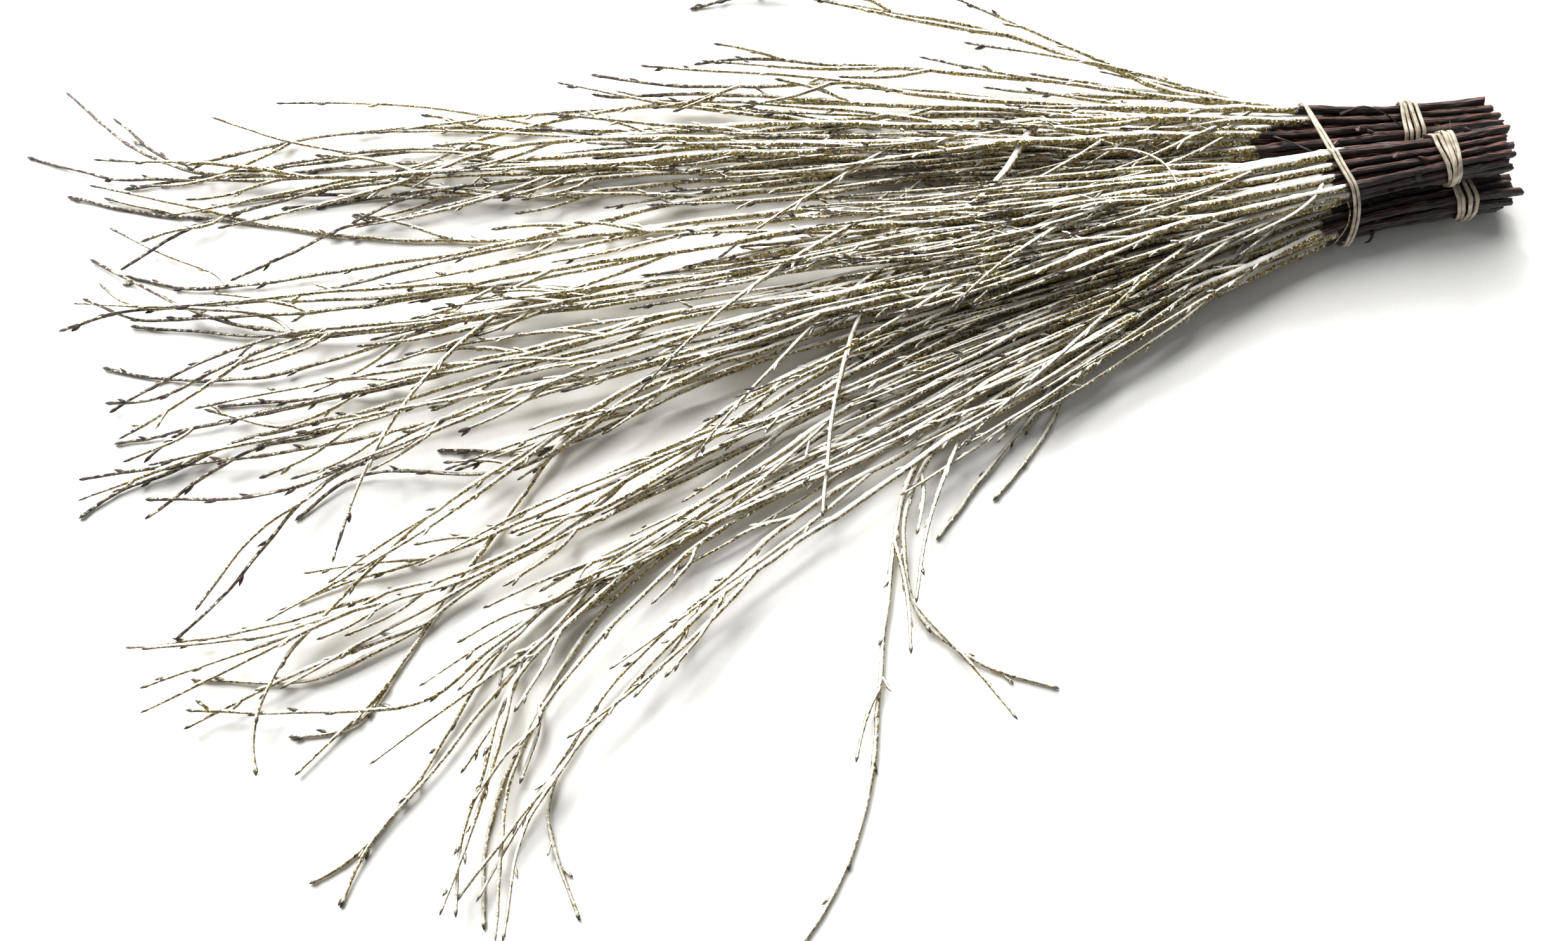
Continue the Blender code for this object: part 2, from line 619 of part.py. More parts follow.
def sections(pile, names, middle, across, along, reach):
    """Where the named stems pass the plane of a band, as round spots in that plane."""
    spots = []
    for name, start, count in pile.limbs:
        if not name.startswith(names):
            continue
        for i in range(start, start + count - 1):
            a, b = Vector(pile.at[i]), Vector(pile.at[i + 1])
            for level in (-reach, 0.0, reach):
                low, high = (a - middle).dot(along) - level, (b - middle).dot(along) - level
                if low * high > 0 or low == high:
                    continue
                share = low / (low - high)
                place = a.lerp(b, share) - middle
                radius = pile.radii[i] + (pile.radii[i + 1] - pile.radii[i]) * share
                spots.append((place.dot(across), place.z, radius))
    return spots


def hull(points):
    """The convex outline of points in a plane, anticlockwise."""
    points = sorted(set(points))

    def chain(run):
        out = []
        for p in run:
            while len(out) > 1 and turn(out[-2], out[-1], p) <= 0:
                out.pop()
            out.append(p)
        return out[:-1]

    return chain(points) + chain(points[::-1])


def turn(a, b, c):
    return (b[0] - a[0]) * (c[1] - a[1]) - (b[1] - a[1]) * (c[0] - a[0])


def band_loop(spots, stand_off):
    """A rubber band's line, stretched round the stems that it holds."""
    rim = []
    for across, up, radius in spots:
        reach = (radius + stand_off) / math.cos(math.pi / RIM_POINTS)
        for k in range(RIM_POINTS):
            angle = math.tau * (k + 0.5) / RIM_POINTS
            rim.append((across + reach * math.cos(angle), up + reach * math.sin(angle)))
    loop = []
    for place in hull(rim):
        if not loop or math.dist(place, loop[-1]) > CLOSEST_BAND_POINTS:
            loop.append(place)
    return loop


def build_band(name, pile, names, middle, heading, width, thickness, shift, collection):
    """A rubber band as one flat hoop round the stems whose names start so."""
    along = Vector((math.cos(heading), math.sin(heading), 0))
    across = Vector((-math.sin(heading), math.cos(heading), 0))
    spots = sections(pile, names, middle, across, along, width / 2)
    loop = band_loop(spots, BAND_CLEARANCE + thickness / 2)
    curve = bpy.data.curves.new(name, "CURVE")
    curve.dimensions = "3D"
    curve.bevel_depth = thickness / 2
    curve.bevel_resolution = 0
    curve.extrude = width / 2 - thickness / 2
    line = curve.splines.new("POLY")
    line.use_cyclic_u = True
    line.points.add(len(loop) - 1)
    for point, place in zip(line.points, loop):
        point.co = (*place, 0.0, 1.0)
    made = bpy.data.objects.new(name, curve)
    made.matrix_world = Matrix.Translation(middle - shift) @ Matrix((
        (across.x, 0.0, along.x, 0.0),
        (across.y, 0.0, along.y, 0.0),
        (0.0, 1.0, 0.0, 0.0),
        (0.0, 0.0, 0.0, 1.0),
    ))
    collection.objects.link(made)
    curve.materials.append(finish_of(name + "_rubber", RUBBER, 0.5))
    return made


def box_middle(pile):
    """The middle of the box that holds every limb, on the table."""
    radius = np.array(pile.radii)
    low = (pile.at[:, :2] - radius[:, None]).min(0)
    high = (pile.at[:, :2] + radius[:, None]).max(0)
    return Vector((*((low + high) / 2), 0.0))


def main():
    clear_scene()
    bundle = new_collection("twig_bundle")
    helpers = new_collection("shoots_to_fuse")
    pile = build_pile()
    shift = box_middle(pile)
    build_twigs(pile, shift, bundle, helpers)
    for name, form in BUNDLES.items():
        middle = Vector(form["band"]) * MM
        heading = math.atan2(form["butt"][1] - form["tie"][1], form["butt"][0] - form["tie"][0])
        build_band(f"band_{name}", pile, f"twig_{name}", middle, heading,
                   BAND_WIDTH, BAND_THICKNESS, shift, bundle)
    middle = Vector((*BIG_BAND_PLACE, PLAN_HEIGHT))
    build_band("band_big", pile, "twig_", middle, BIG_BAND_TURN,
               BIG_BAND_WIDTH, BIG_BAND_THICKNESS, shift, bundle)


main()
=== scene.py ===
"""The looks of a bundle of frosted twigs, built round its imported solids.

Units are metres, +Z is up and +X points to the cut ends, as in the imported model.
"""

import math
import random

import bmesh
import bpy
import numpy as np
from mathutils import Matrix, Vector


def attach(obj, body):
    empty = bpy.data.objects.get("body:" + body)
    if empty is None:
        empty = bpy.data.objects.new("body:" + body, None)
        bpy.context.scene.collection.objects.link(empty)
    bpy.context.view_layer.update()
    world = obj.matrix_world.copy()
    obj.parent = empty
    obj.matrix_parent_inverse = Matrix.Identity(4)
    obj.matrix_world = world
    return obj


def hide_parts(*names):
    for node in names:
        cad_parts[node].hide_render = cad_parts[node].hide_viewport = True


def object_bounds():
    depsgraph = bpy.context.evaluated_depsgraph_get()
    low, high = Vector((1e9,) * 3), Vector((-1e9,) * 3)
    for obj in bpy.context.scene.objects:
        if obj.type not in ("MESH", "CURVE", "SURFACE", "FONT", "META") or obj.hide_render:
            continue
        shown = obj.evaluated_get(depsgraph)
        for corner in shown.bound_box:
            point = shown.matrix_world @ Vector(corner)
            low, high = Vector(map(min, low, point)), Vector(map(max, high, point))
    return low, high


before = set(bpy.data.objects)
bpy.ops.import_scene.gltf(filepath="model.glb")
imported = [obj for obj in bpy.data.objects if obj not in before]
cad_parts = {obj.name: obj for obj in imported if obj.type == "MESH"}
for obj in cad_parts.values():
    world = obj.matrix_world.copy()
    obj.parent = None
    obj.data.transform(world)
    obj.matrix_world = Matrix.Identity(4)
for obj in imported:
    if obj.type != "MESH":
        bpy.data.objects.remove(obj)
cad_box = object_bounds()

# The pile
# Three bundles of birch stems, each side by side through its own band and the big tie, then fanned out and
# sunk to the table under their own weight. The lines are the imported solids' own, with the same routes, read
# on a level plan, and the same rule that keeps the limbs from meeting.
MM = 0.001
PLAN_HEIGHT = 10.0 * MM
VIEWPOINT = (0.0, -171.0 * MM, 470.0 * MM)

BUTT_RADIUS = (1.45 * MM, 1.95 * MM)
TIP_RADIUS = 0.55 * MM
SHOOT_RADIUS = 0.80 * MM
SHOOT_TIP_RADIUS = 0.50 * MM
LOOSE_RADIUS = 1.60 * MM
STEM_STEPS = 6
SHOOT_STEPS = 2
CLEARANCE = 0.45 * MM
BEND_WORTH = 90.0 * MM

# The three tied bundles: middle of the stems at the cut ends, at their own band and at the big tie
# (x, y, height in mm), then how far the section is spread sideways and flattened at the big tie.
BUNDLES = {
    "back": {
        "butt": (315, 164, 9.0), "band": (279, 160, 8.9), "tie": (238, 157, 9.5),
        "tie_spread": (1.5, 0.85),
    },
    "front": {
        "butt": (315, 129, 9.0), "band": (294, 126, 8.9), "tie": (240, 113, 9.0),
        "tie_spread": (1.1, 0.9),
    },
    "upper": {
        "butt": (308, 137, 26.6), "band": (282, 132, 26.0), "tie": (242, 126, 23.5),
        "tie_spread": (1.4, 0.9),
    },
}
STEM_ROWS = (4, 5, 5, 4)
ROW_PITCH = 3.35 * MM
STEM_PITCH = 3.75 * MM
BUTT_STAGGER = 5.0 * MM

# Where the big tie crosses, the run past it in which the routes part, and the room under the bands
BIG_BAND_PLACE = (236.0 * MM, 140.0 * MM)
TIE_RUN = 24.0
UNDER_BANDS = 2.2 * MM

# Plan route of each twig past the big tie, in mm, as read from bundle to tip
ROUTES = {
    "back": (
        ((180, 177), (150, 192), (127, 200), (90, 214), (48, 224), (-5, 233), (-25, 230), (-44, 225)),
        ((177, 177), (123, 184), (93, 187), (50, 194), (17, 194), (-17, 196), (-41, 193)),
        ((65, 176), (33, 184), (0, 183), (-57, 182), (-88, 187)),
        ((60, 171), (0, 176), (-50, 177), (-75, 175), (-87, 177)),
        ((27, 156), (-3, 167), (-47, 172), (-87, 167), (-112, 160), (-150, 150), (-195, 143), (-289, 127)),
        ((90, 167), (17, 163), (-88, 158), (-168, 159), (-217, 153), (-245, 145), (-267, 140), (-301, 164)),
        ((-33, 145), (-110, 140), (-150, 137), (-222, 134), (-262, 137), (-298, 155), (-325, 178)),
        ((-70, 147), (-150, 138), (-222, 132), (-272, 133), (-293, 132), (-314, 137), (-335, 144)),
        ((-60, 158), (-108, 153), (-140, 148), (-175, 147), (-230, 139), (-262, 134)),
        ((-67, 142), (-100, 139), (-143, 141), (-200, 138), (-245, 134)),
        ((110, 132), (20, 118), (-50, 110), (-110, 102), (-158, 102), (-200, 106), (-247, 112),
         (-272, 114), (-313, 124)),
        ((-110, 150), (-150, 140), (-193, 131), (-220, 122), (-257, 107), (-283, 87)),
        ((110, 142), (-17, 133), (-83, 127), (-150, 123), (-200, 125), (-225, 122), (-243, 119)),
        ((-60, 140), (-93, 135), (-125, 130), (-195, 121), (-219, 118)),
        ((-93, 132), (-133, 125), (-168, 112), (-190, 107), (-205, 98), (-236, 83)),
        ((110, 137), (20, 129), (-50, 121), (-100, 106), (-137, 95), (-183, 88), (-230, 81),
         (-253, 79), (-281, 84)),
        ((-40, 140), (-110, 132), (-167, 122), (-188, 111)),
        ((20, 150), (-57, 152), (-97, 158), (-120, 159)),
    ),
    "upper": (
        ((110, 112), (20, 100), (-50, 85), (-110, 70), (-173, 58), (-233, 62), (-263, 74), (-297, 93)),
        ((110, 117), (20, 107), (-50, 97), (-95, 87), (-142, 80), (-187, 72), (-250, 71),
         (-278, 68), (-303, 57)),
        ((-70, 92), (-130, 78), (-190, 68), (-240, 66), (-272, 64), (-297, 73)),
        ((110, 104), (0, 86), (-110, 66), (-160, 60), (-220, 56), (-257, 58), (-274, 60)),
        ((-110, 72), (-155, 57), (-195, 42), (-217, 37), (-255, 37), (-282, 42)),
        ((-150, 62), (-205, 55), (-235, 40), (-258, 27), (-278, 26)),
        ((-150, 65), (-205, 57), (-233, 48), (-260, 34), (-276, 22)),
        ((-110, 50), (-150, 38), (-200, 25), (-250, 11), (-271, 8)),
        ((-100, 52), (-150, 36), (-205, 26), (-232, 24)),
        ((-100, 50), (-170, 32), (-225, 18), (-247, 12), (-258, 0)),
        ((-110, 42), (-173, 22), (-220, 9), (-252, -8), (-263, -11), (-279, -24)),
        ((-100, 42), (-150, 25), (-190, 11), (-217, 4), (-253, -24)),
        ((-47, 55), (-100, 33), (-150, 13), (-183, -4), (-212, -14), (-254, -17)),
        ((-47, 48), (-132, 22), (-150, 7), (-183, -8), (-205, -35), (-214, -50), (-233, -72)),
        ((-50, 35), (-95, 4), (-120, -5), (-150, -5), (-173, -7), (-194, -24)),
        ((-100, 30), (-180, 8), (-242, -1), (-282, -8)),
        ((-20, 40), (-85, 10), (-100, 5), (-140, 4)),
        ((110, 123), (20, 114), (-80, 104), (-158, 90), (-178, 82), (-203, 75)),
    ),
    "front": (
        ((130, 84), (50, 57), (-30, 12), (-110, -38), (-150, -53), (-187, -65), (-230, -72), (-251, -75)),
        ((130, 80), (50, 51), (-30, 5), (-110, -42), (-167, -60), (-200, -72), (-245, -77)),
        ((130, 88), (50, 63), (-20, 24), (-80, -15), (-133, -37), (-173, -52), (-188, -59)),
        ((120, 92), (40, 72), (-25, 49), (-75, 25), (-133, -17), (-167, -50), (-190, -80),
         (-197, -107), (-194, -123)),
        ((130, 76), (50, 45), (-30, -3), (-110, -43), (-145, -72), (-180, -89), (-192, -89), (-224, -87)),
        ((130, 73), (50, 38), (-10, -2), (-60, -35), (-110, -75), (-135, -96), (-168, -99), (-224, -99)),
        ((120, 95), (30, 75), (-50, 40), (-85, 13), (-110, -22), (-133, -57), (-145, -83),
         (-160, -107), (-184, -110)),
        ((130, 70), (50, 33), (-15, -10), (-80, -50), (-107, -77), (-132, -120), (-157, -152), (-170, -160)),
        ((130, 66), (50, 27), (-20, -18), (-80, -60), (-110, -93), (-133, -127), (-149, -147), (-157, -169)),
        ((130, 64), (50, 22), (-10, -16), (-70, -52), (-104, -92), (-109, -118), (-117, -150), (-117, -172)),
        ((130, 60), (50, 18), (-27, -25), (-68, -60), (-95, -103), (-107, -142), (-105, -176)),
        ((130, 58), (50, 13), (-40, -40), (-80, -83), (-100, -127), (-103, -160), (-103, -188)),
        ((67, 10), (33, -15), (-27, -57), (-60, -92), (-88, -128), (-117, -167)),
        ((17, -15), (-17, -42), (-66, -92), (-87, -135), (-82, -152), (-72, -173)),
        ((90, 40), (50, -7), (40, -57), (31, -130), (17, -165), (0, -188)),
        ((75, 20), (53, -10), (47, -32), (50, -62), (72, -81), (104, -90)),
        ((126, 52), (118, 40), (103, 8), (84, -17)),
        ((123, 50), (102, 18), (88, 2), (59, -32)),
    ),
}

# Side shoots: the bundle and number of the twig that carries it, then its plan route
SHOOTS = (
    ("back", 3, ((-20, 182), (-36, 174), (-50, 168))),
    ("back", 9, ((-192, 148), (-223, 153), (-257, 165))),
    ("back", 11, ((-262, 113), (-280, 118), (-297, 123))),
    ("back", 12, ((-245, 112), (-262, 108), (-277, 101))),
    ("back", 16, ((-237, 81), (-270, 97), (-292, 108))),
    ("back", 5, ((193, 163), (160, 142), (110, 103))),
    ("back", 1, ((212, 168), (182, 156), (152, 142))),
    ("upper", 2, ((-262, 68), (-280, 72), (-291, 81))),
    ("upper", 10, ((-240, 13), (-252, 7), (-266, 0))),
    ("upper", 11, ((-200, 14), (-218, 18), (-237, 23))),
    ("upper", 14, ((-183, -8), (-207, -28), (-227, -61))),
    ("upper", 4, ((229, 128), (217, 112), (193, 93))),
    ("upper", 17, ((177, 118), (150, 121), (122, 128))),
    ("front", 4, ((-133, -17), (-158, -34), (-177, -50))),
    ("front", 5, ((-110, -43), (-150, -67), (-190, -91))),
    ("front", 6, ((-60, -35), (-90, -47), (-116, -60))),
    ("front", 7, ((-150, -90), (-168, -110), (-180, -123))),
    ("front", 8, ((-100, -66), (-113, -80), (-123, -92))),
    ("front", 13, ((-80, -112), (-94, -140), (-99, -180))),
    ("front", 14, ((5, -20), (-8, -26), (-20, -32))),
    ("front", 16, ((71, 12), (58, -22), (51, -58))),
    ("front", 7, ((142, 92), (103, 103), (70, 115))),
)

# The broken twig that lies on top, from its thick end
LOOSE_ROUTE = (
    (112, 159), (93, 130), (60, 100), (35, 71), (27, 50), (20, 20), (15, -23),
)
LOOSE_START_HEIGHT = 34.0 * MM

# Side shoots that follow the growth rule: alternate, leaving at a small angle
RULE_SHOOTS_AT = (0.66, 0.80)
RULE_SHOOT_SCATTER = 0.05
RULE_SHOOT_LENGTH = (26.0 * MM, 48.0 * MM)
MOST_SHOOTS = 2
CLOSEST_SHOOTS = 25.0 * MM
RULE_SHOOT_ANGLE = math.radians(20.0)
TIP_TURN_SHARE = 0.4
LOOK_AHEAD = 20.0 * MM

# Where a shoot may leave, as shares of the free run, and how it starts
SHOOTS_BETWEEN = (0.02, 0.98)
SHOOT_ROOT_SHARE = 0.85
SHOOT_RISE = 1.5 * MM

# How high the twigs stand off the table between the tie and their tips
LOFT = 9.0 * MM
LIFT_SHARE = (0.2, 1.0)
TIP_LIFT = (-4.0 * MM, 9.0 * MM)
SINK_POWER = 1.3
ARCH_POWER = 0.8
TAPER_POWER = 0.9

# Settling of the pile: shares are of the way left, taken in each round
ROUNDS = 1500
LAST_ROUNDS = 1200
NEAR = 9.0 * MM
NEAR_EVERY = 20
HELD_BY_BANDS = (0.8, 0.9, 0.8)
SIDEWAYS_PULL = 0.02
HELD_SIDEWAYS_PULL = 0.25
SINKING = 0.03
HELD_SINKING = 0.2
STIFFNESS = 0.06
FREE_SIDEWAYS = 0.25
HELD_SIDEWAYS = 0.6
UPWARD = 0.15
PUSH = 1.3
FLOOR_GAP = 0.02 * MM
WIDEST_MOVE = 60.0 * MM


def smooth_route(points, per_span=8):
    """Points on a centripetal Catmull-Rom curve through the given ones."""
    ends = [2 * points[0] - points[1], *points, 2 * points[-1] - points[-2]]
    curve = []
    for a, b, c, d in zip(ends, ends[1:], ends[2:], ends[3:]):
        t1 = (b - a).length ** 0.5
        t2 = t1 + (c - b).length ** 0.5
        t3 = t2 + (d - c).length ** 0.5
        for step in range(per_span):
            t = t1 + (t2 - t1) * step / per_span
            ab = a.lerp(b, t / t1)
            bc = b.lerp(c, (t - t1) / (t2 - t1))
            cd = c.lerp(d, (t - t2) / (t3 - t2))
            curve.append(ab.lerp(bc, t / t2).lerp(bc.lerp(cd, (t - t1) / (t3 - t1)), (t - t1) / (t2 - t1)))
    curve.append(points[-1].copy())
    return curve


def lengths_along(points):
    """Distance of each point from the first, along the line."""
    total = [0.0]
    for a, b in zip(points, points[1:]):
        total.append(total[-1] + (b - a).length)
    return total


def even_steps(points, lengths, first, count):
    """Distances that split the line past the first one into steps, shorter where it bends more."""
    start = next(i for i, length in enumerate(lengths) if length >= first)
    effort = [0.0]
    for i in range(start, len(points) - 1):
        bend = 0.0
        if i > start:
            bend = abs((points[i] - points[i - 1]).angle_signed(points[i + 1] - points[i], 0.0))
        effort.append(effort[-1] + (lengths[i + 1] - lengths[i]) + bend * BEND_WORTH)
    steps = []
    for step in range(1, count + 1):
        wanted = effort[-1] * step / count
        i = next((i for i, value in enumerate(effort) if value >= wanted - 1e-9), len(effort) - 1)
        span = effort[i] - effort[i - 1]
        share = (wanted - effort[i - 1]) / span
        low, high = lengths[start + i - 1], lengths[start + i]
        steps.append(low + (high - low) * min(share, 1.0))
    return steps


def at_length(points, lengths, wanted):
    """The point this far along the line."""
    for i in range(len(points) - 1):
        if wanted <= lengths[i + 1] or i == len(points) - 2:
            span = max(lengths[i + 1] - lengths[i], 1e-9)
            return points[i].lerp(points[i + 1], min((wanted - lengths[i]) / span, 1.0))
    return points[-1]


def bundle_slots():
    """Sideways and upward place of each stem in a tied bundle's section."""
    slots = []
    for row, count in enumerate(STEM_ROWS):
        up = (row - (len(STEM_ROWS) - 1) / 2) * ROW_PITCH
        slots += [((i - (count - 1) / 2) * STEM_PITCH, up) for i in range(count)]
    return slots


def slots_by_route(bundle):
    """Gives each twig the slot on the side that its route leaves to."""
    order = sorted(range(len(ROUTES[bundle])), key=lambda i: route_side(ROUTES[bundle][i]))
    slots = sorted(bundle_slots())
    return {twig: slots[place] for place, twig in enumerate(order)}


def route_side(route):
    """How steeply a route leaves the big tie towards the back."""
    tie_x, tie_y = (value / MM for value in BIG_BAND_PLACE)
    x, y = route[0]
    return (y - tie_y) / (tie_x + TIE_RUN - x)


class Pile:
    """All limbs of all twigs as lines of points, and the rule that keeps them from meeting."""

    def __init__(self):
        self.places, self.heights, self.radii = [], [], []
        self.twigs, self.held, self.segments, self.limbs, self.joints = [], [], [], [], []
        self.rests, self.offsets = [], []

    def add_limb(self, twig, places, heights, radii, held, joint=None, rests=None, offsets=None):
        """Takes in one limb, which may hang on a joint between two points of another."""
        start = len(self.places)
        count = len(places)
        self.places += places
        self.heights += heights
        self.rests += rests or heights
        self.offsets += offsets or [(0.0, 0.0)] * count
        self.radii += radii
        self.held += held
        self.twigs += [twig] * count
        self.segments += [(start + i, start + i + 1) for i in range(count - 1)]
        self.limbs.append((twig, start, count))
        if joint:
            self.joints.append((start, *joint))
        return start

    def closest(self, at, one, two):
        """For pairs of segments, how far along each their closest points are, and the way between."""
        a, b = at[self.ends[one, 0]], at[self.ends[one, 1]]
        c, d = at[self.ends[two, 0]], at[self.ends[two, 1]]
        u, v, w = b - a, d - c, a - c
        uu, vv, uv = (u * u).sum(1), (v * v).sum(1), (u * v).sum(1)
        uw, vw = (u * w).sum(1), (v * w).sum(1)
        flat = uu * vv - uv * uv
        s = np.clip(np.where(flat > 1e-16, (uv * vw - vv * uw) / np.maximum(flat, 1e-16), 0.5), 0, 1)
        t = np.clip((uv * s + vw) / vv, 0, 1)
        s = np.clip((uv * t - uw) / uu, 0, 1)
        return s, t, (a + u * s[:, None]) - (c + v * t[:, None])

    def near_pairs(self, at, gap):
        """The pairs of segments whose boxes come within the gap."""
        low = np.minimum(at[self.ends[:, 0]], at[self.ends[:, 1]]) - gap / 2
        high = np.maximum(at[self.ends[:, 0]], at[self.ends[:, 1]]) + gap / 2
        one, two = self.all_pairs
        keep = ((low[one] < high[two]) & (low[two] < high[one])).all(1)
        return one[keep], two[keep]

    def settle(self, rounds, last_rounds):
        """Lets the limbs sink towards the table and pushes apart those that would meet."""
        self.plan = np.array(self.places)
        self.offset = np.array(self.offsets)
        self.radius = np.array(self.radii)
        self.hold = np.array(self.held)
        self.ends = np.array(self.segments)
        self.chain = self.chains()
        twig = np.array(self.twigs)
        one, two = np.triu_indices(len(self.ends), 1)
        apart = twig[self.ends[one, 0]] != twig[self.ends[two, 0]]
        self.all_pairs = (one[apart], two[apart])
        rest = np.array(self.rests)
        at = np.empty((len(self.plan), 3))
        at[:, 2] = np.array(self.heights)
        at[:, :2] = self.on_sight_lines(at[:, 2])
        self.all_pairs = self.near_pairs(at, WIDEST_MOVE)
        roots = np.array([row[:3] for row in self.joints])
        share = np.array([row[3] for row in self.joints])[:, None]
        floor = self.radius + FLOOR_GAP + (self.hold > 0) * UNDER_BANDS
        for turn in range(rounds + last_rounds):
            if turn % NEAR_EVERY == 0:
                one, two = self.near_pairs(at, NEAR)
            if turn < rounds:
                self.sink(at, rest, 1.0 - turn / rounds)
            met = self.push_apart(at, one, two)
            if turn >= rounds and not met:
                break
            at[roots[:, 0]] = at[roots[:, 1]] * (1 - share) + at[roots[:, 2]] * share
            at[:, 2] = np.maximum(at[:, 2], floor)
        self.at = at

    def sink(self, at, rest, ease):
        """One round's move towards the read routes and the rest heights, with the limbs' own stiffness."""
        hold = self.hold
        pull = SIDEWAYS_PULL + HELD_SIDEWAYS_PULL * hold
        at[:, :2] += pull[:, None] * (self.on_sight_lines(at[:, 2]) - at[:, :2])
        at[:, 2] += (SINKING * ease + HELD_SINKING * hold) * (rest - at[:, 2])
        inner, before, after = self.chain
        straight = (at[before, 2] + at[after, 2]) / 2
        at[inner, 2] += STIFFNESS * (1 - hold[inner]) * (straight - at[inner, 2])

    def push_apart(self, at, one, two):
        """One round's move of the limbs that are nearer than the clearance; says if there were any."""
        s, t, way = self.closest(at, one, two)
        distance = np.sqrt((way * way).sum(1)) + 1e-12
        ends_one, ends_two = self.ends[one], self.ends[two]
        thick = self.radius[ends_one[:, 0]] * (1 - s) + self.radius[ends_one[:, 1]] * s
        thick += self.radius[ends_two[:, 0]] * (1 - t) + self.radius[ends_two[:, 1]] * t
        lack = thick + CLEARANCE - distance
        hit = lack > 0
        if not hit.any():
            return False
        s, t, lack, ends_one, ends_two = s[hit], t[hit], lack[hit], ends_one[hit], ends_two[hit]
        way = way[hit] / distance[hit][:, None]
        hold = np.maximum(self.hold[ends_one[:, 0]], self.hold[ends_two[:, 0]])
        way[:, :2] *= (FREE_SIDEWAYS + HELD_SIDEWAYS * hold)[:, None]
        way[:, 2] += np.where(way[:, 2] >= 0, UPWARD, -UPWARD)
        way /= np.sqrt((way * way).sum(1))[:, None]
        push = way * (lack * 0.5)[:, None]
        total = np.zeros_like(at)
        weight = np.ones(len(at))
        for points, part in (
            (ends_one[:, 0], 1 - s), (ends_one[:, 1], s), (ends_two[:, 0], t - 1), (ends_two[:, 1], -t),
        ):
            np.add.at(total, points, push * part[:, None])
            np.add.at(weight, points, np.abs(part))
        at += PUSH * total / np.maximum(weight - 1.0, 1.0)[:, None]
        return True

    def on_sight_lines(self, height):
        """Where the read places lie at these heights."""
        return sight_lines(self.plan, height) + self.offset

    def chains(self):
        """Each point inside a limb, with the one before it and the one after it."""
        inner, before, after = [], [], []
        for _, start, count in self.limbs:
            for i in range(start + 1, start + count - 1):
                inner.append(i)
                before.append(i - 1)
                after.append(i + 1)
        return np.array(inner), np.array(before), np.array(after)


def sight_lines(plan, height):
    """Real places of plan readings, at these heights."""
    share = ((VIEWPOINT[2] - height) / (VIEWPOINT[2] - PLAN_HEIGHT))[:, None]
    eye = np.array(VIEWPOINT[:2])
    return eye + (plan - eye) * share


def plan_place(real):
    """The plan reading of a real point."""
    share = (VIEWPOINT[2] - PLAN_HEIGHT) / (VIEWPOINT[2] - real[2])
    return (
        VIEWPOINT[0] + (real[0] - VIEWPOINT[0]) * share,
        VIEWPOINT[1] + (real[1] - VIEWPOINT[1]) * share,
    )


LIMBS = []


def note_limb(twig, start, line, lengths, stops, taper, leaves_at=None):
    """Keeps a limb's fine route beside the few points that the pile settles."""
    LIMBS.append({"twig": twig, "start": start, "line": line, "lengths": lengths, "stops": stops,
                  "taper": taper, "leaves_at": leaves_at})


def add_stem(pile, bundle, number, slot, dice):
    """One stem from its cut end, through its band and the big tie, to its tip."""
    form = BUNDLES[bundle]
    name = f"twig_{bundle}_{number:02d}"
    butt, band, tie = (Vector(form[key]) * MM for key in ("butt", "band", "tie"))
    side, up = slot
    spread, flat = form["tie_spread"]
    stagger = dice.uniform(-1, 1) * BUTT_STAGGER
    first = (butt.x + stagger, butt.y + side, butt.z + up)
    second = (band.x, band.y + side, band.z + up)
    third = (tie.x, tie.y + side * spread, tie.z + up * flat)
    plan = [Vector((x * MM, y * MM)) for x, y in ROUTES[bundle][number - 1]]
    free = smooth_route([Vector(plan_place(second)), Vector(plan_place(third)), *plan])
    lengths = lengths_along(free)
    tie_length = lengths[8]
    rest = lengths[-1] - tie_length
    lift = dice.uniform(*LIFT_SHARE)
    tip_height = TIP_RADIUS + dice.uniform(*TIP_LIFT)
    places = [plan_place(first), plan_place(second), plan_place(third)]
    heights = [first[2], second[2], third[2]]
    stations = [tie_length] + even_steps(free, lengths, tie_length, STEM_STEPS)
    for station in stations[1:]:
        share = (station - tie_length) / rest
        places.append(tuple(at_length(free, lengths, station)))
        sink = (1 - share) ** SINK_POWER
        arch = math.sin(math.pi * share ** ARCH_POWER) * LOFT * lift
        heights.append(tip_height + (third[2] - tip_height) * sink + arch)
    run = [0.0]
    for a, b in zip(places, places[1:]):
        run.append(run[-1] + math.dist(a, b))
    butt_radius = dice.uniform(*BUTT_RADIUS)
    radii = [butt_radius + (TIP_RADIUS - butt_radius) * (d / run[-1]) ** TAPER_POWER for d in run]
    held = [*HELD_BY_BANDS] + [0.0] * STEM_STEPS
    start = pile.add_limb(name, places, heights, radii, held)
    butt_run = math.dist(places[0], places[1])
    note_limb(name, start, [Vector(places[0]), *free], [0.0, *(butt_run + d for d in lengths)],
              [0.0, butt_run, *(butt_run + d for d in stations)], (radii[0], TIP_RADIUS, TAPER_POWER))
    return {"name": name, "start": start, "free": free, "lengths": lengths, "tie_length": tie_length,
            "rest": rest, "stations": stations, "radii": radii, "heights": heights, "butt_run": butt_run}


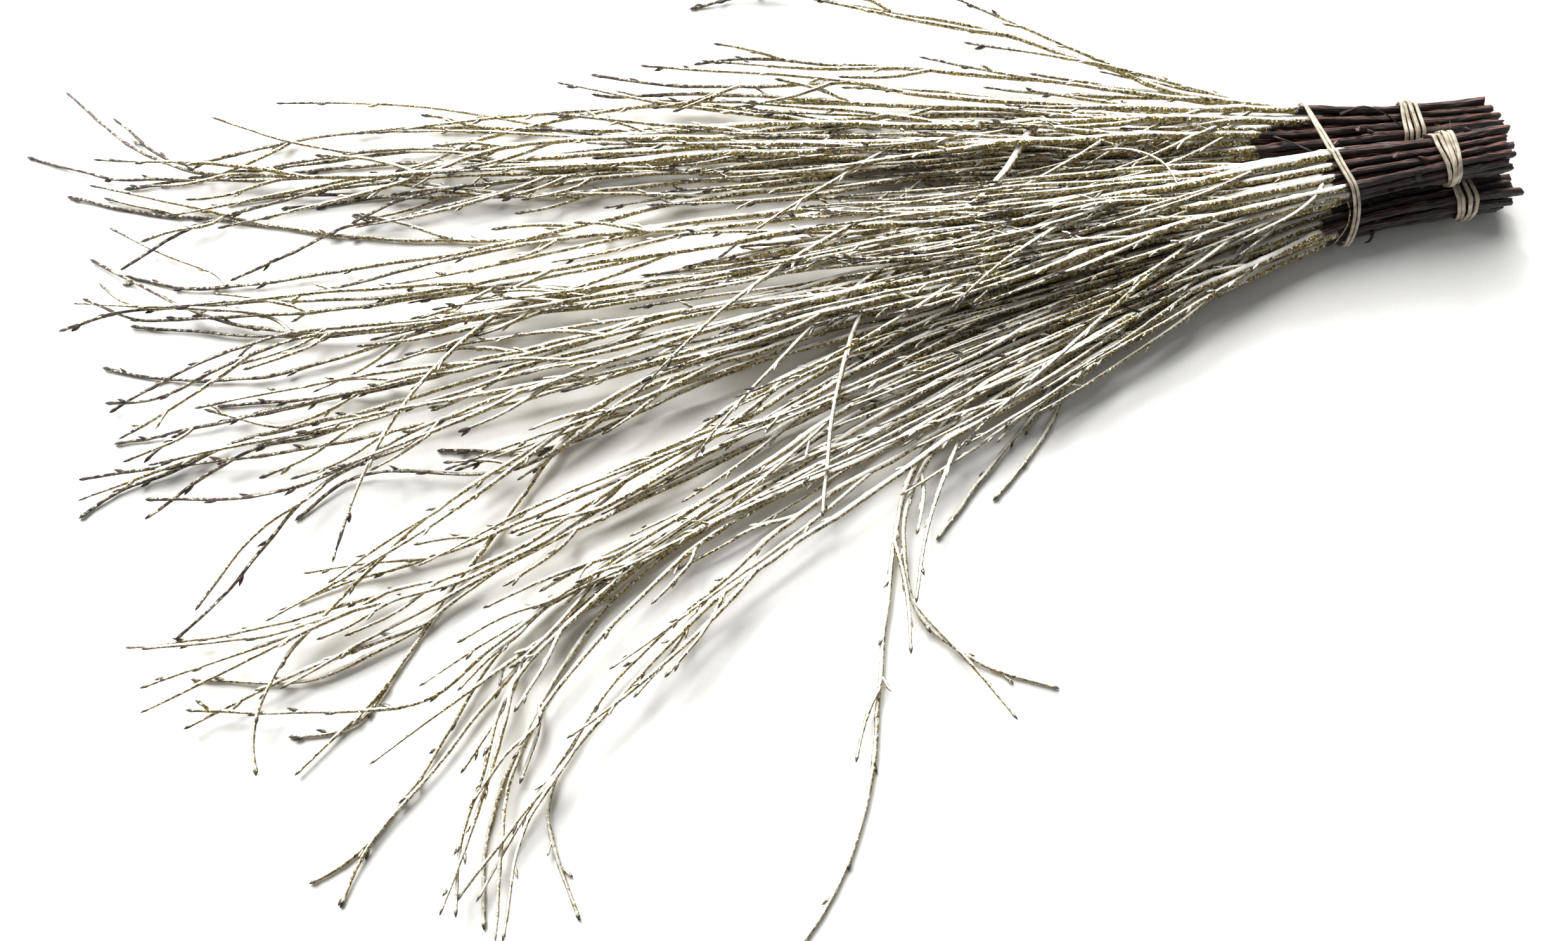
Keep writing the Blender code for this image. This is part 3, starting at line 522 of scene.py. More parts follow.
def add_shoot(pile, stem, route, length_at):
    """One side shoot, which leaves its stem where its route starts."""
    stations = stem["stations"]
    segment = max(i for i in range(STEM_STEPS) if stations[i] <= length_at)
    part = (length_at - stations[segment]) / (stations[segment + 1] - stations[segment])
    a = stem["start"] + 2 + segment
    line = smooth_route(route)
    lengths = lengths_along(line)
    stops = [0.0] + even_steps(line, lengths, 0.0, SHOOT_STEPS)
    places = [tuple(at_length(line, lengths, stop)) for stop in stops]
    low = stem["heights"][2 + segment] * (1 - part) + stem["heights"][3 + segment] * part
    heights = [low + SHOOT_RISE * i for i in range(SHOOT_STEPS + 1)]
    thick = stem["radii"][2 + segment] * (1 - part) + stem["radii"][3 + segment] * part
    root = min(SHOOT_RADIUS, thick * SHOOT_ROOT_SHARE)
    radii = [root + (SHOOT_TIP_RADIUS - root) * i / SHOOT_STEPS for i in range(SHOOT_STEPS + 1)]
    start = pile.add_limb(stem["name"], places, heights, radii, [0.0] * (SHOOT_STEPS + 1), (a, a + 1, part))
    note_limb(stem["name"], start, line, lengths, stops, (root, SHOOT_TIP_RADIUS, 1.0),
              stem["butt_run"] + length_at)


def nearest_length(stem, place):
    """How far along a stem's free run it comes closest to a place."""
    best = min(range(len(stem["free"])), key=lambda i: (stem["free"][i] - place).length)
    low, high = (stem["tie_length"] + share * stem["rest"] for share in SHOOTS_BETWEEN)
    return min(max(stem["lengths"][best], low), high)


def add_rule_shoots(pile, stem, dice, taken):
    """The shoots that follow the growth rule, on alternate sides, left out where another is near along the
    stem or the stem has enough.
    """
    side = 1 if dice.random() < 0.5 else -1
    for share in RULE_SHOOTS_AT:
        side = -side
        scatter = dice.uniform(-RULE_SHOOT_SCATTER, RULE_SHOOT_SCATTER)
        length_at = stem["tie_length"] + stem["rest"] * (share + scatter)
        crowded = any(abs(length_at - other) < CLOSEST_SHOOTS for other in taken)
        if crowded or len(taken) >= MOST_SHOOTS:
            continue
        taken.append(length_at)
        root = at_length(stem["free"], stem["lengths"], length_at)
        ahead = at_length(stem["free"], stem["lengths"], length_at + LOOK_AHEAD)
        along = (ahead - root).normalized()
        length = dice.uniform(*RULE_SHOOT_LENGTH)
        half = root + Matrix.Rotation(side * RULE_SHOOT_ANGLE, 2) @ along * length / 2
        tip = half + Matrix.Rotation(side * RULE_SHOOT_ANGLE * TIP_TURN_SHARE, 2) @ along * length / 2
        add_shoot(pile, stem, [root, half, tip], length_at)


def add_loose_twig(pile):
    """The broken twig, let down on the pile from just above it."""
    line = smooth_route([Vector((x * MM, y * MM)) for x, y in LOOSE_ROUTE])
    lengths = lengths_along(line)
    stops = [0.0] + even_steps(line, lengths, 0.0, STEM_STEPS)
    places = [tuple(at_length(line, lengths, stop)) for stop in stops]
    radii = [LOOSE_RADIUS + (TIP_RADIUS - LOOSE_RADIUS) * stop / lengths[-1] for stop in stops]
    heights = [LOOSE_START_HEIGHT] * len(places)
    level = [0.0] * len(places)
    start = pile.add_limb("twig_loose", places, heights, radii, level, rests=level)
    note_limb("twig_loose", start, line, lengths, stops, (LOOSE_RADIUS, TIP_RADIUS, 1.0))


def build_pile():
    """Every limb of every twig, settled on the table."""
    pile = Pile()
    for bundle in ROUTES:
        slots = slots_by_route(bundle)
        for index in range(len(ROUTES[bundle])):
            dice = random.Random(f"{bundle} {index}")
            stem = add_stem(pile, bundle, index + 1, slots[index], dice)
            taken = []
            for owner, number, route in SHOOTS:
                if (owner, number) != (bundle, index + 1):
                    continue
                read = [Vector((x * MM, y * MM)) for x, y in route]
                length_at = nearest_length(stem, read[0])
                taken.append(length_at)
                root = at_length(stem["free"], stem["lengths"], length_at)
                add_shoot(pile, stem, [root, *read[1:]], length_at)
            add_rule_shoots(pile, stem, dice, taken)
    add_loose_twig(pile)
    pile.settle(ROUNDS, LAST_ROUNDS)
    return pile


def box_middle(pile):
    """The middle of the box that holds every limb, on the table."""
    radius = np.array(pile.radii)
    low = (pile.at[:, :2] - radius[:, None]).min(0)
    high = (pile.at[:, :2] + radius[:, None]).max(0)
    return Vector((*((low + high) / 2), 0.0))


# The lines of the twigs
# A birch twig grows in short straight steps from node to node, with a slight turn at each one, and
# carries a bud or a small spur at the node, on alternate sides. The steps follow the settled lines.
NODE_GAP = (12.0 * MM, 25.0 * MM)
FIRST_NODE = 0.6
GAP_AT_ROOT = 1.4
GAP_CLOSES_BY = 0.6
NO_NODE_PAST = 5 * MM
KINK = 0.45 * MM
KINK_SHARE = (0.2, 1.0)
BARE_KINK = 1.5
SHOOT_KINK = 0.35
KINK_EVENS_BY = 0.15
WAVE = (0.3 * MM, 1.6 * MM)
WAVE_LENGTH = (90.0 * MM, 180.0 * MM)
WAVE_FROM = (0.05, 0.30)
FINE_ROUNDS = 130
FINE_LAST_ROUNDS = 90
GRAIN_ROOM = 0.14 * MM


def node_distances(limb, dice):
    """How far along a limb its nodes stand, closer together towards the tip."""
    total = limb["lengths"][-1]
    found = []
    at = dice.uniform(*NODE_GAP) * FIRST_NODE
    while at < total - NO_NODE_PAST:
        found.append(at)
        at += dice.uniform(*NODE_GAP) * (GAP_AT_ROOT - GAP_CLOSES_BY * at / total)
    return found


def fine_points(pile, limb, dice):
    """The limb's fine places in plan, heights, offsets and distances, at each node and half way between."""
    nodes = node_distances(limb, dice)
    total = limb["lengths"][-1]
    start_kink = SHOOT_KINK if limb["leaves_at"] is not None else BARE_KINK
    ends = [0.0, *nodes, total]
    stations = sorted(set(ends + [(a + b) / 2 for a, b in zip(ends, ends[1:])]))
    count = len(limb["stops"])
    solved = pile.at[limb["start"]:limb["start"] + count]
    plan = pile.plan[limb["start"]:limb["start"] + count]
    offsets = solved[:, :2] - sight_lines(plan, solved[:, 2])
    heights = np.interp(stations, limb["stops"], solved[:, 2])
    shifts = np.stack([np.interp(stations, limb["stops"], offsets[:, k]) for k in (0, 1)], 1)
    places = []
    side = dice.choice((-1, 1))
    wave = dice.uniform(*WAVE) if limb["leaves_at"] is None else 0.0
    wave_length = dice.uniform(*WAVE_LENGTH)
    phase = dice.uniform(0, math.tau)
    for station in stations:
        place = at_length(limb["line"], limb["lengths"], station)
        ahead = at_length(limb["line"], limb["lengths"], station + MM) - place
        if station >= total - 2 * MM:
            ahead = place - at_length(limb["line"], limb["lengths"], station - MM)
        across = Vector((-ahead.y, ahead.x)).normalized()
        grown = min(max((station / total - WAVE_FROM[0]) / (WAVE_FROM[1] - WAVE_FROM[0]), 0.0), 1.0)
        reach = wave * grown * math.sin(math.tau * station / wave_length + phase)
        if station in nodes:
            side = -side
            more = max(start_kink - station / (KINK_EVENS_BY * total), 1.0)
            reach += side * dice.uniform(*KINK_SHARE) * KINK * more
        places.append(tuple(place + across * reach))
    return {"nodes": nodes, "stations": stations, "places": places, "heights": list(heights),
            "shifts": [tuple(shift) for shift in shifts]}


def limb_radius(limb, distance):
    """Half the limb's thickness at a distance from its thick end."""
    first, last, power = limb["taper"]
    return first + (last - first) * max(distance / limb["lengths"][-1], 0.0) ** power


# Side branches too fine for the solids: how far apart they leave a stem, how long they are, and how
# they bend back towards its way. One in a few stands off at a wide angle and lies across the others.
BRANCH_GAP = (12.0 * MM, 31.0 * MM)
SPARSE_FROM = 0.30
SPARSE_TIPS = 18.0
BRANCH_LENGTH = (55.0 * MM, 150.0 * MM)
BRANCH_RADIUS = (0.60 * MM, 0.95 * MM)
BRANCH_TIP_RADIUS = 0.42 * MM
BRANCHES_BETWEEN = (0.06, 0.90)
LONE_STEM = "twig_front_15"
LONE_BRANCHES_BEFORE = 0.60
BRANCH_ANGLE = (math.radians(5), math.radians(14))
CROSSING_ANGLE = (math.radians(14), math.radians(34))
CROSSING_CHANCE = 0.10
CROSSING_CURL = math.radians(4.5)
BRANCH_STEP = 12.0 * MM
BEND_BACK = 0.16
BRANCH_KINK = math.radians(2.5)
BRANCH_RISE = 0.9 * MM
CROSSING_RISE = 2.2 * MM
BRANCH_ARCH = 0.75
PAST_STEM_TIP = 1.05
HELD_BY_TIE = 0.8
INSIDE_BOX = 4.0 * MM
AMONG = 7.0 * MM


def inside_box(place):
    """Whether a plan place, moved to the finished part, is well inside the solids' box."""
    low, high = cad_box
    x, y = place.x - shift.x, place.y - shift.y
    return low.x + INSIDE_BOX < x < high.x - INSIDE_BOX and low.y + INSIDE_BOX < y < high.y - INSIDE_BOX


def among_stems(place):
    """Whether a plan place is close to the read route of some stem."""
    read = (limb["line"] for limb in LIMBS if limb["stops"])
    return any((point - place).length < AMONG for line in read for point in line)


def segment_at(stem, distance):
    """The segment of a stem's fine line at a distance along it, and the share of the segment before it."""
    stations = stem["stations"]
    spot = min(max(np.searchsorted(stations, distance) - 1, 0), len(stations) - 2)
    return spot, (distance - stations[spot]) / (stations[spot + 1] - stations[spot])


def branch_route(stem, leaves_at, side, dice, crossing):
    """Plan places of a fine branch, from where it leaves its stem."""
    place = at_length(stem["line"], stem["lengths"], leaves_at)
    along = at_length(stem["line"], stem["lengths"], leaves_at + LOOK_AHEAD) - place
    heading = math.atan2(along.y, along.x)
    lean = dice.uniform(*CROSSING_ANGLE) if crossing else side * dice.uniform(*BRANCH_ANGLE)
    left = stem["lengths"][-1] - leaves_at
    length = min(dice.uniform(*BRANCH_LENGTH), left * PAST_STEM_TIP)
    back = 0.0 if crossing else BEND_BACK
    curl = dice.uniform(-1, 1) * CROSSING_CURL if crossing else 0.0
    route = [place]
    for _ in range(max(int(length / BRANCH_STEP), 2)):
        place = place + Vector((math.cos(heading + lean), math.sin(heading + lean))) * BRANCH_STEP
        if not inside_box(place):
            break
        route.append(place)
        lean = lean * (1 - back) + curl + dice.uniform(-1, 1) * BRANCH_KINK
    while crossing and route and not among_stems(route[-1]):
        route.pop()
    return route


def add_branches(fine, stem, dice):
    """The fine branches of one stem, settled with the rest of the pile."""
    total = stem["lengths"][-1]
    first, last = (stem["stops"][2] + share * (total - stem["stops"][2]) for share in BRANCHES_BETWEEN)
    if stem["twig"] == LONE_STEM:
        last = total * LONE_BRANCHES_BEFORE
    leaves_at = first + dice.uniform(0, BRANCH_GAP[1])
    side = dice.choice((-1, 1))
    while leaves_at < last:
        side = -side
        crossing = dice.random() < CROSSING_CHANCE and not stem["twig"].startswith("twig_front")
        route = branch_route(stem, leaves_at, side, dice, crossing)
        if len(route) > 2:
            note_limb(stem["twig"], len(LIMBS), route, lengths_along(route), [],
                      (dice.uniform(*BRANCH_RADIUS), BRANCH_TIP_RADIUS, 1.0), leaves_at)
            limb = LIMBS[-1]
            spot, part = segment_at(stem, leaves_at)
            start_height = stem["heights"][spot] * (1 - part) + stem["heights"][spot + 1] * part
            rise = CROSSING_RISE if crossing else BRANCH_RISE
            arch = [math.sin(math.pi * BRANCH_ARCH * i / len(route)) for i in range(len(route))]
            limb["stations"] = limb["lengths"]
            limb["nodes"] = limb["lengths"][1:-1]
            limb["heights"] = [start_height + rise * up * 2 for up in arch]
            radii = [limb_radius(limb, d) + GRAIN_ROOM for d in limb["lengths"]]
            limb["fine_start"] = fine.add_limb(
                stem["twig"], [tuple(p) for p in route], limb["heights"], radii, [0.0] * len(route),
                (stem["fine_start"] + spot, stem["fine_start"] + spot + 1, part),
                offsets=[stem["shifts"][spot]] * len(route))
        sparse = max(0.0, leaves_at / total - SPARSE_FROM) / (1 - SPARSE_FROM)
        leaves_at += dice.uniform(*BRANCH_GAP) * (1 + SPARSE_TIPS * sparse)


def refine(pile):
    """The settled pile again, with a point every few millimetres of each limb and with fine branches."""
    fine = Pile()
    stems = {}
    for limb in list(LIMBS):
        dice = random.Random(f"{limb['twig']} {limb['start']}")
        made = fine_points(pile, limb, dice)
        limb.update(made)
        joint = None
        if limb["leaves_at"] is None:
            stems[limb["twig"]] = limb
        else:
            stem = stems[limb["twig"]]
            spot, part = segment_at(stem, limb["leaves_at"])
            joint = (stem["fine_start"] + spot, stem["fine_start"] + spot + 1, part)
        radii = [limb_radius(limb, d) + GRAIN_ROOM for d in made["stations"]]
        tied = limb["stops"][2] if limb["twig"] != "twig_loose" and limb["leaves_at"] is None else 0.0
        held = [HELD_BY_TIE if d <= tied else 0.0 for d in made["stations"]]
        limb["fine_start"] = fine.add_limb(limb["twig"], made["places"], made["heights"], radii, held, joint,
                                           offsets=made["shifts"])
    for twig, stem in stems.items():
        if twig != "twig_loose":
            add_branches(fine, stem, random.Random(f"branches {twig}"))
    fine.settle(FINE_ROUNDS, FINE_LAST_ROUNDS)
    return fine


pile = build_pile()
shift = box_middle(pile)
fine = refine(pile)

# The twigs
# Each is one length of dark, wrinkled birch bark, sprayed past the tie with white frost paint and strewn
# with gold and silver glitter. Buds, spurs and side shoots stand on it as they grew.
RING_STEP = 2.3 * MM
SLENDER_STEP = 2.6 * MM
TIP_STEP = 0.8 * MM
TIP_BUD = 4.0 * MM
COAT_LINE = (226.0 * MM, 243.0 * MM)
DEEP_COAT_LINE = (198.0 * MM, 216.0 * MM)
DEEP_SIDE = 165.5 * MM
COAT_EDGE = 1.5 * MM
COAT_THINS_AT = (0.55, 0.95)
THIN_COAT = 0.38
THIN_FRONT_COAT = 0.70
COAT_THICKNESS = 0.16 * MM
LEAST_SWELL = 0.05 * MM
SLIM_TIP = 0.18
BARK_SWELL = 1.06
NODE_SWELL = 0.20
NODE_SWELL_SHARE = (0.4, 1.6)
NODE_REACH = 1.6 * MM
UNEVEN = 0.08
UNEVEN_LENGTH = (5.0 * MM, 12.0 * MM)
BUD_LENGTH = (3.0 * MM, 5.0 * MM)
BUD_RADIUS = (0.65 * MM, 0.95 * MM)
BUD_ANGLE = (math.radians(12), math.radians(26))
BUD_STEPS = ((0.0, 0.45), (0.22, 0.85), (0.5, 1.0), (0.8, 0.6), (1.0, 0.12))
BUD_ROOT_DARK = 0.2
DARK_BUD_BARE = 0.6
BUD_OFF_STEM = 0.3
SPUR_LENGTH = (4.0 * MM, 10.0 * MM)
SPUR_ANGLE = (math.radians(20), math.radians(40))
SPUR_RADIUS = 0.5 * MM
SPUR_ROOT = 1.35
SPUR_NARROWS_BY = 0.6
SPUR_BUD = 1.5
SPUR_POINT = 0.3
SPUR_DARK_FROM = 0.7
SPUR_BEND = 0.25
SPUR_FOLLOWS = 0.3
SPUR_STEP = 1.6 * MM
SPUR_CHANCE = 0.08
BUD_CHANCE = 0.62
BUDS_FROM = 0.12
BUDS_DARKEN_AT = 0.5
BUDS_DARKEN_OVER = 0.3
LEAST_DARK = 0.15
SEAT = 0.35 * MM
TIP_BUD_FROM = 1.15
TIP_BUD_SWELL = 0.40
TIP_BUD_MIDDLE = 0.55
TIP_BUD_SPREAD = 0.3
TIP_BUD_CLOSING = 3
TIP_BUD_POINT = 0.15
CUT_END = 0.93
UNDER_SLEEVE = 0.8
SLEEVE_LIP = 0.9
LEANS_FROM_SIDE = 0.9
COATED, SLENDER, BARE = 0, 1, 2
RING_SIDES = {COATED: 10, SLENDER: 5, BARE: 20}
SLEEVE_OVERLAP = 3
KNOT_CHANCE = 0.40
KNOT_LENGTH = (3.0 * MM, 6.5 * MM)
KNOT_RADIUS = (1.1 * MM, 1.9 * MM)
KNOT_ANGLE = (math.radians(30), math.radians(65))
# The way the frost paint came from, close to the way the strong light comes from. Faces turned to it get
# white frost, partly real and partly painted highlight, and bare bark turned away from it gets painted shade.
SPRAY_AND_LIGHT_FROM = (-0.20, 0.50, 0.84)
CRUST_DEPTH = 0.26 * MM
CRUST_SIZE = 1 / (2.6 * MM)
WRINKLE_DEPTH = 2.3 * MM
CUT_SIDES = 8
CUT_FACING = 0.5
CUT_SLANT = 0.5
CUT_ROUGHNESS = 0.2 * MM
GRAINS = 0.15 / MM ** 2
GRAIN_RADIUS = 0.36 * MM
GRAIN_SIZES = ((0.5, 0.5, 0.35), (1.2, 1.2, 0.9))
FLAKE_SIZE = 0.6 * MM
FLAKE_TILT = 1.3


def evened(points, spacing, passes=3):
    """Points at even steps along a line, with its corners eased, and their distances."""
    gaps = np.sqrt(((points[1:] - points[:-1]) ** 2).sum(1))
    run = np.concatenate([[0.0], np.cumsum(gaps)])
    count = max(int(run[-1] / spacing), 3)
    stops = np.linspace(0.0, run[-1], count + 1)
    line = np.stack([np.interp(stops, run, points[:, k]) for k in range(3)], 1)
    for _ in range(passes):
        line[1:-1] = (line[:-2] + 2 * line[1:-1] + line[2:]) / 4
    return line, stops, run


def with_tip(line, stops):
    """The line with closer points over its last few millimetres, where the end bud is."""
    keep = stops < stops[-1] - TIP_BUD
    extra = np.arange(stops[-1] - TIP_BUD, stops[-1] + TIP_STEP / 2, TIP_STEP)
    wanted = np.concatenate([stops[keep], extra])
    return np.stack([np.interp(wanted, stops, line[:, k]) for k in range(3)], 1), wanted


class Carrier:
    """The lines of one twig, as a mesh of edges whose points say what grows there."""

    def __init__(self):
        self.points, self.edges = [], []
        self.values = {"thickness": [], "frost": [], "bud": [], "along": [], "kind": []}

    def add(self, points, radii, frost, bud, along, kind):
        """Takes in one line, lifted where it would sink into the table."""
        start = len(self.points)
        count = len(points)
        points = np.array(points)
        points[:, 2] = np.maximum(points[:, 2], np.array(radii) + SEAT)
        self.points += [tuple(p) for p in points]
        self.edges += [(start + i, start + i + 1) for i in range(count - 1)]
        for name, values in (("thickness", radii), ("frost", frost), ("bud", bud), ("along", along)):
            self.values[name] += list(values)
        self.values["kind"] += [float(kind)] * count

    def mesh(self, name):
        """The lines as edges, with their values as attributes."""
        made = bpy.data.meshes.new(name)
        made.from_pydata(self.points, self.edges, [])
        for key, values in self.values.items():
            layer = made.attributes.new(key, "FLOAT", "POINT")
            layer.data.foreach_set("value", values)
        return made


def frost_at(points, coat_line, shares, thinnest):
    """How much frost lies on each point: none past the coat line, less towards the tip."""
    into = np.clip((coat_line - points[:, 0]) / COAT_EDGE + 0.5, 0, 1)
    first, last = COAT_THINS_AT
    thin = np.clip((shares - first) / (last - first), 0, 1)
    return into * (1 - (1 - thinnest) * thin)


def turned(direction, angle, roll):
    """A direction leaning off a line by an angle, on the side given by a roll about the line."""
    side = Vector((-direction.y, direction.x, 0.0)).normalized()
    up = direction.cross(side)
    lean = side * math.cos(roll) + up * math.sin(roll)
    return (direction * math.cos(angle) + lean * math.sin(angle)).normalized()


def add_bud(carrier, root, direction, length, radius, frost, bare):
    """A pointed bud or a round knot, darker towards its point."""
    points = [root + direction * length * along for along, _ in BUD_STEPS]
    radii = [radius * wide for _, wide in BUD_STEPS]
    dark = [bare * (BUD_ROOT_DARK + (1 - BUD_ROOT_DARK) * along) for along, _ in BUD_STEPS]
    carrier.add([tuple(p) for p in points], radii, [frost * (1 - DARK_BUD_BARE * d) for d in dark], dark,
                [along * length for along, _ in BUD_STEPS], SLENDER)


def add_spur(carrier, root, direction, length, bend, frost, bare):
    """A short side twiglet with a bud on its end."""
    count = max(int(length / SPUR_STEP), 4)
    points = []
    place = root.copy()
    heading = direction.copy()
    for _ in range(count + 1):
        points.append(tuple(place))
        place = place + heading * length / count
        heading = (heading + bend / count).normalized()
    shares = [i / count for i in range(count + 1)]
    radii = [SPUR_RADIUS * (SPUR_ROOT - SPUR_NARROWS_BY * s) for s in shares]
    radii[-2:] = [SPUR_RADIUS * SPUR_BUD, SPUR_RADIUS * SPUR_POINT]
    dark = [bare * max(0.0, s - SPUR_DARK_FROM) / (1 - SPUR_DARK_FROM) for s in shares]
    carrier.add(points, radii, [frost] * (count + 1), dark, [s * length for s in shares], SLENDER)


def dress_limb(carrier, limb, coat_line):
    """A limb's fine line with its end bud, and the buds and spurs at its nodes."""
    dice = random.Random(f"buds {limb['twig']} {limb['start']}")
    rough = fine.at[limb["fine_start"]:limb["fine_start"] + len(limb["stations"])] - np.array(shift)
    line, stops, run = evened(rough, RING_STEP if limb["leaves_at"] is None else SLENDER_STEP)
    line, stops = with_tip(line, stops)
    total = stops[-1]
    shares = stops / total
    nodes = np.interp(limb["nodes"], limb["stations"], run)
    radii = np.array([limb_radius(limb, s * limb["lengths"][-1]) for s in shares])
    for node in nodes:
        swell = NODE_SWELL * dice.uniform(*NODE_SWELL_SHARE)
        radii *= 1 + swell * np.exp(-((stops - node) / NODE_REACH) ** 2)
    radii *= 1 + UNEVEN * np.sin(stops / dice.uniform(*UNEVEN_LENGTH) + dice.uniform(0, math.tau))
    broken = limb["twig"] == "twig_loose"
    to_tip = (total - stops) / TIP_BUD
    bud = np.clip(TIP_BUD_FROM - to_tip, 0, 1)
    swell = 1 + TIP_BUD_SWELL * np.exp(-((to_tip - TIP_BUD_MIDDLE) / TIP_BUD_SPREAD) ** 2)
    radii *= np.where(to_tip < 1, swell * np.clip(to_tip * TIP_BUD_CLOSING + TIP_BUD_POINT, 0, 1), 1)
    is_stem = limb["leaves_at"] is None
    if is_stem:
        radii[0] *= CUT_END
    thinnest = THIN_FRONT_COAT if limb["twig"].startswith("twig_front") else THIN_COAT
    frost = frost_at(line, coat_line, shares, thinnest)
    if broken:
        frost = np.ones_like(shares)
    radii = radii * BARK_SWELL * (1 - SLIM_TIP * shares ** 2)
    radii = radii + frost * COAT_THICKNESS + LEAST_SWELL * (bud == 0)
    bare_count = int((line[:, 0] > coat_line + COAT_EDGE).sum())
    if is_stem and not broken:
        bark = slice(0, bare_count + SLEEVE_OVERLAP)
        under = radii[bark].copy()
        under[-1] *= UNDER_SLEEVE
        carrier.add(line[bark], under, frost[bark], bud[bark], stops[bark], BARE)
        sleeve = slice(bare_count, None)
        over = radii[sleeve].copy()
        over[0] *= SLEEVE_LIP
        carrier.add(line[sleeve], over, frost[sleeve], bud[sleeve], stops[sleeve], COATED)
    else:
        carrier.add(line, radii, frost, bud, stops, COATED if broken else SLENDER)
    side = dice.choice((-1, 1))
    for node in nodes:
        side = -side
        share = node / total
        spot = int(np.searchsorted(stops, node))
        if spot >= len(stops) - 2:
            continue
        here = Vector(line[spot])
        ahead = (Vector(line[spot + 1]) - here).normalized()
        roll = dice.uniform(-LEANS_FROM_SIDE, LEANS_FROM_SIDE) + (0 if side > 0 else math.pi)
        bare = min(max((share - BUDS_DARKEN_AT) / BUDS_DARKEN_OVER, LEAST_DARK), 1.0)
        if line[spot][0] > coat_line:
            if dice.random() < KNOT_CHANCE:
                direction = turned(ahead, dice.uniform(*KNOT_ANGLE), roll)
                add_bud(carrier, here, direction, dice.uniform(*KNOT_LENGTH), dice.uniform(*KNOT_RADIUS),
                        0.0, 0.0)
            continue
        if is_stem and not broken and share < BUDS_FROM:
            continue
        if dice.random() < SPUR_CHANCE and not broken:
            direction = turned(ahead, dice.uniform(*SPUR_ANGLE), roll)
            bend = Vector([dice.uniform(-SPUR_BEND, SPUR_BEND) for _ in range(3)]) + ahead * SPUR_FOLLOWS
            add_spur(carrier, here, direction, dice.uniform(*SPUR_LENGTH), bend, frost[spot], bare)
        elif dice.random() < BUD_CHANCE:
            direction = turned(ahead, dice.uniform(*BUD_ANGLE), roll)
            root = here + direction * radii[spot] * BUD_OFF_STEM
            add_bud(carrier, root, direction, dice.uniform(*BUD_LENGTH) + radii[spot],
                    dice.uniform(*BUD_RADIUS), frost[spot], bare)


# Single growths read one by one, in mm: the twig that carries each, how much frost is on it, its radius and
# its way. They are a knot, a hook, a thin side twig or two on the bare bark, curved pale ones that lie
# across the others, a hair-thin loop, and a frayed tuft beside the upper band.
STRAYS = (
    ("twig_upper_10", 0.0, 1.9, ((273, 127, 29.2), (270, 127.5, 31.6), (267, 128.5, 33.0))),
    ("twig_front_13", 0.0, 0.75, (
        (256, 109, 8.5), (255, 105, 7.5), (254, 103, 6.0), (252.8, 103.6, 5.0))),
    ("twig_back_03", 0.0, 0.55, (
        (247, 163, 15.0), (256, 165, 17.5), (264, 161.5, 18.5), (272, 155, 17.0))),
    ("twig_back_14", 0.0, 0.50, ((214, 152, 15.0), (221, 147, 17.5), (229, 140, 20.0))),
    ("twig_upper_15", 1.0, 1.00, (
        (227, 118, 28.0), (223, 112, 28.5), (214, 105, 26.0), (198, 98, 22.0), (182, 91, 19.0),
        (166, 81, 16.0))),
    ("twig_upper_13", 0.5, 0.45, (
        (233, 116, 27.5), (239, 110, 24.0), (239, 103, 18.5), (235, 98, 12.0))),
    ("twig_upper_12", 0.0, 0.30, (
        (147, 100, 26.0), (146, 94, 27.0), (140, 82, 21.0), (139, 73, 16.0), (143, 67, 14.5),
        (149, 65, 15.0))),
    ("twig_upper_06", 1.0, 0.50, (
        (80, 102, 25.5), (96, 98, 26.5), (110, 93, 26.0), (124, 87, 25.5), (141, 85, 24.0))),
    ("twig_back_08", 1.0, 0.60, (
        (150, 151, 15.5), (158, 146, 18.0), (164, 142, 18.0), (171, 146, 16.0))),
    ("twig_upper_18", 1.0, 0.70, (
        (124, 139, 17.0), (137, 141, 19.0), (149, 140, 21.5), (159, 133, 25.5), (163, 124, 29.5),
        (165, 116, 30.5))),
    ("twig_upper_10", 0.6, 0.14, ((280, 139, 33.0), (278, 141, 36.0), (274, 142, 37.0))),
    ("twig_upper_10", 0.6, 0.14, ((281, 139, 33.0), (282, 142, 36.0), (281, 145, 36.5))),
    ("twig_upper_10", 0.6, 0.14, ((279, 138, 33.0), (276, 139, 36.5), (275, 141, 38.5))),
)
STRAY_STEP = 2.0 * MM
STRAY_TAPER = 0.4
STRAY_POINT = 0.4


def add_stray(carrier, way, radius, frost):
    """One growth along its own way, thinner at its far end."""
    points = smooth_route([Vector(place) * MM - shift for place in way], 4)
    line, stops, _ = evened(np.array([tuple(p) for p in points]), STRAY_STEP, 1)
    shares = stops / stops[-1]
    radii = radius * MM * (1 - STRAY_TAPER * shares)
    radii[-1] *= STRAY_POINT
    carrier.add(line, radii, [frost] * len(stops), [0.0] * len(stops), stops, SLENDER)


def add_node(tree, kind, links=(), out=0, **settings):
    """Adds a node with its settings and gives one of its outputs.

    Links hold a value or another output for each input, by the input's name or in the inputs' order."""
    node = tree.nodes.new(kind)
    for key, value in settings.items():
        setattr(node, key, value)
    for key, value in links.items() if isinstance(links, dict) else enumerate(links):
        if isinstance(value, bpy.types.NodeSocket):
            tree.links.new(value, node.inputs[key])
        else:
            node.inputs[key].default_value = value
    return node.outputs[out]


def paint(colour):
    """A shader colour from an sRGB hex value."""
    parts = [int(colour[i:i + 2], 16) / 255 for i in (0, 2, 4)]
    return (*[p / 12.92 if p <= 0.04045 else ((p + 0.055) / 1.055) ** 2.4 for p in parts], 1.0)


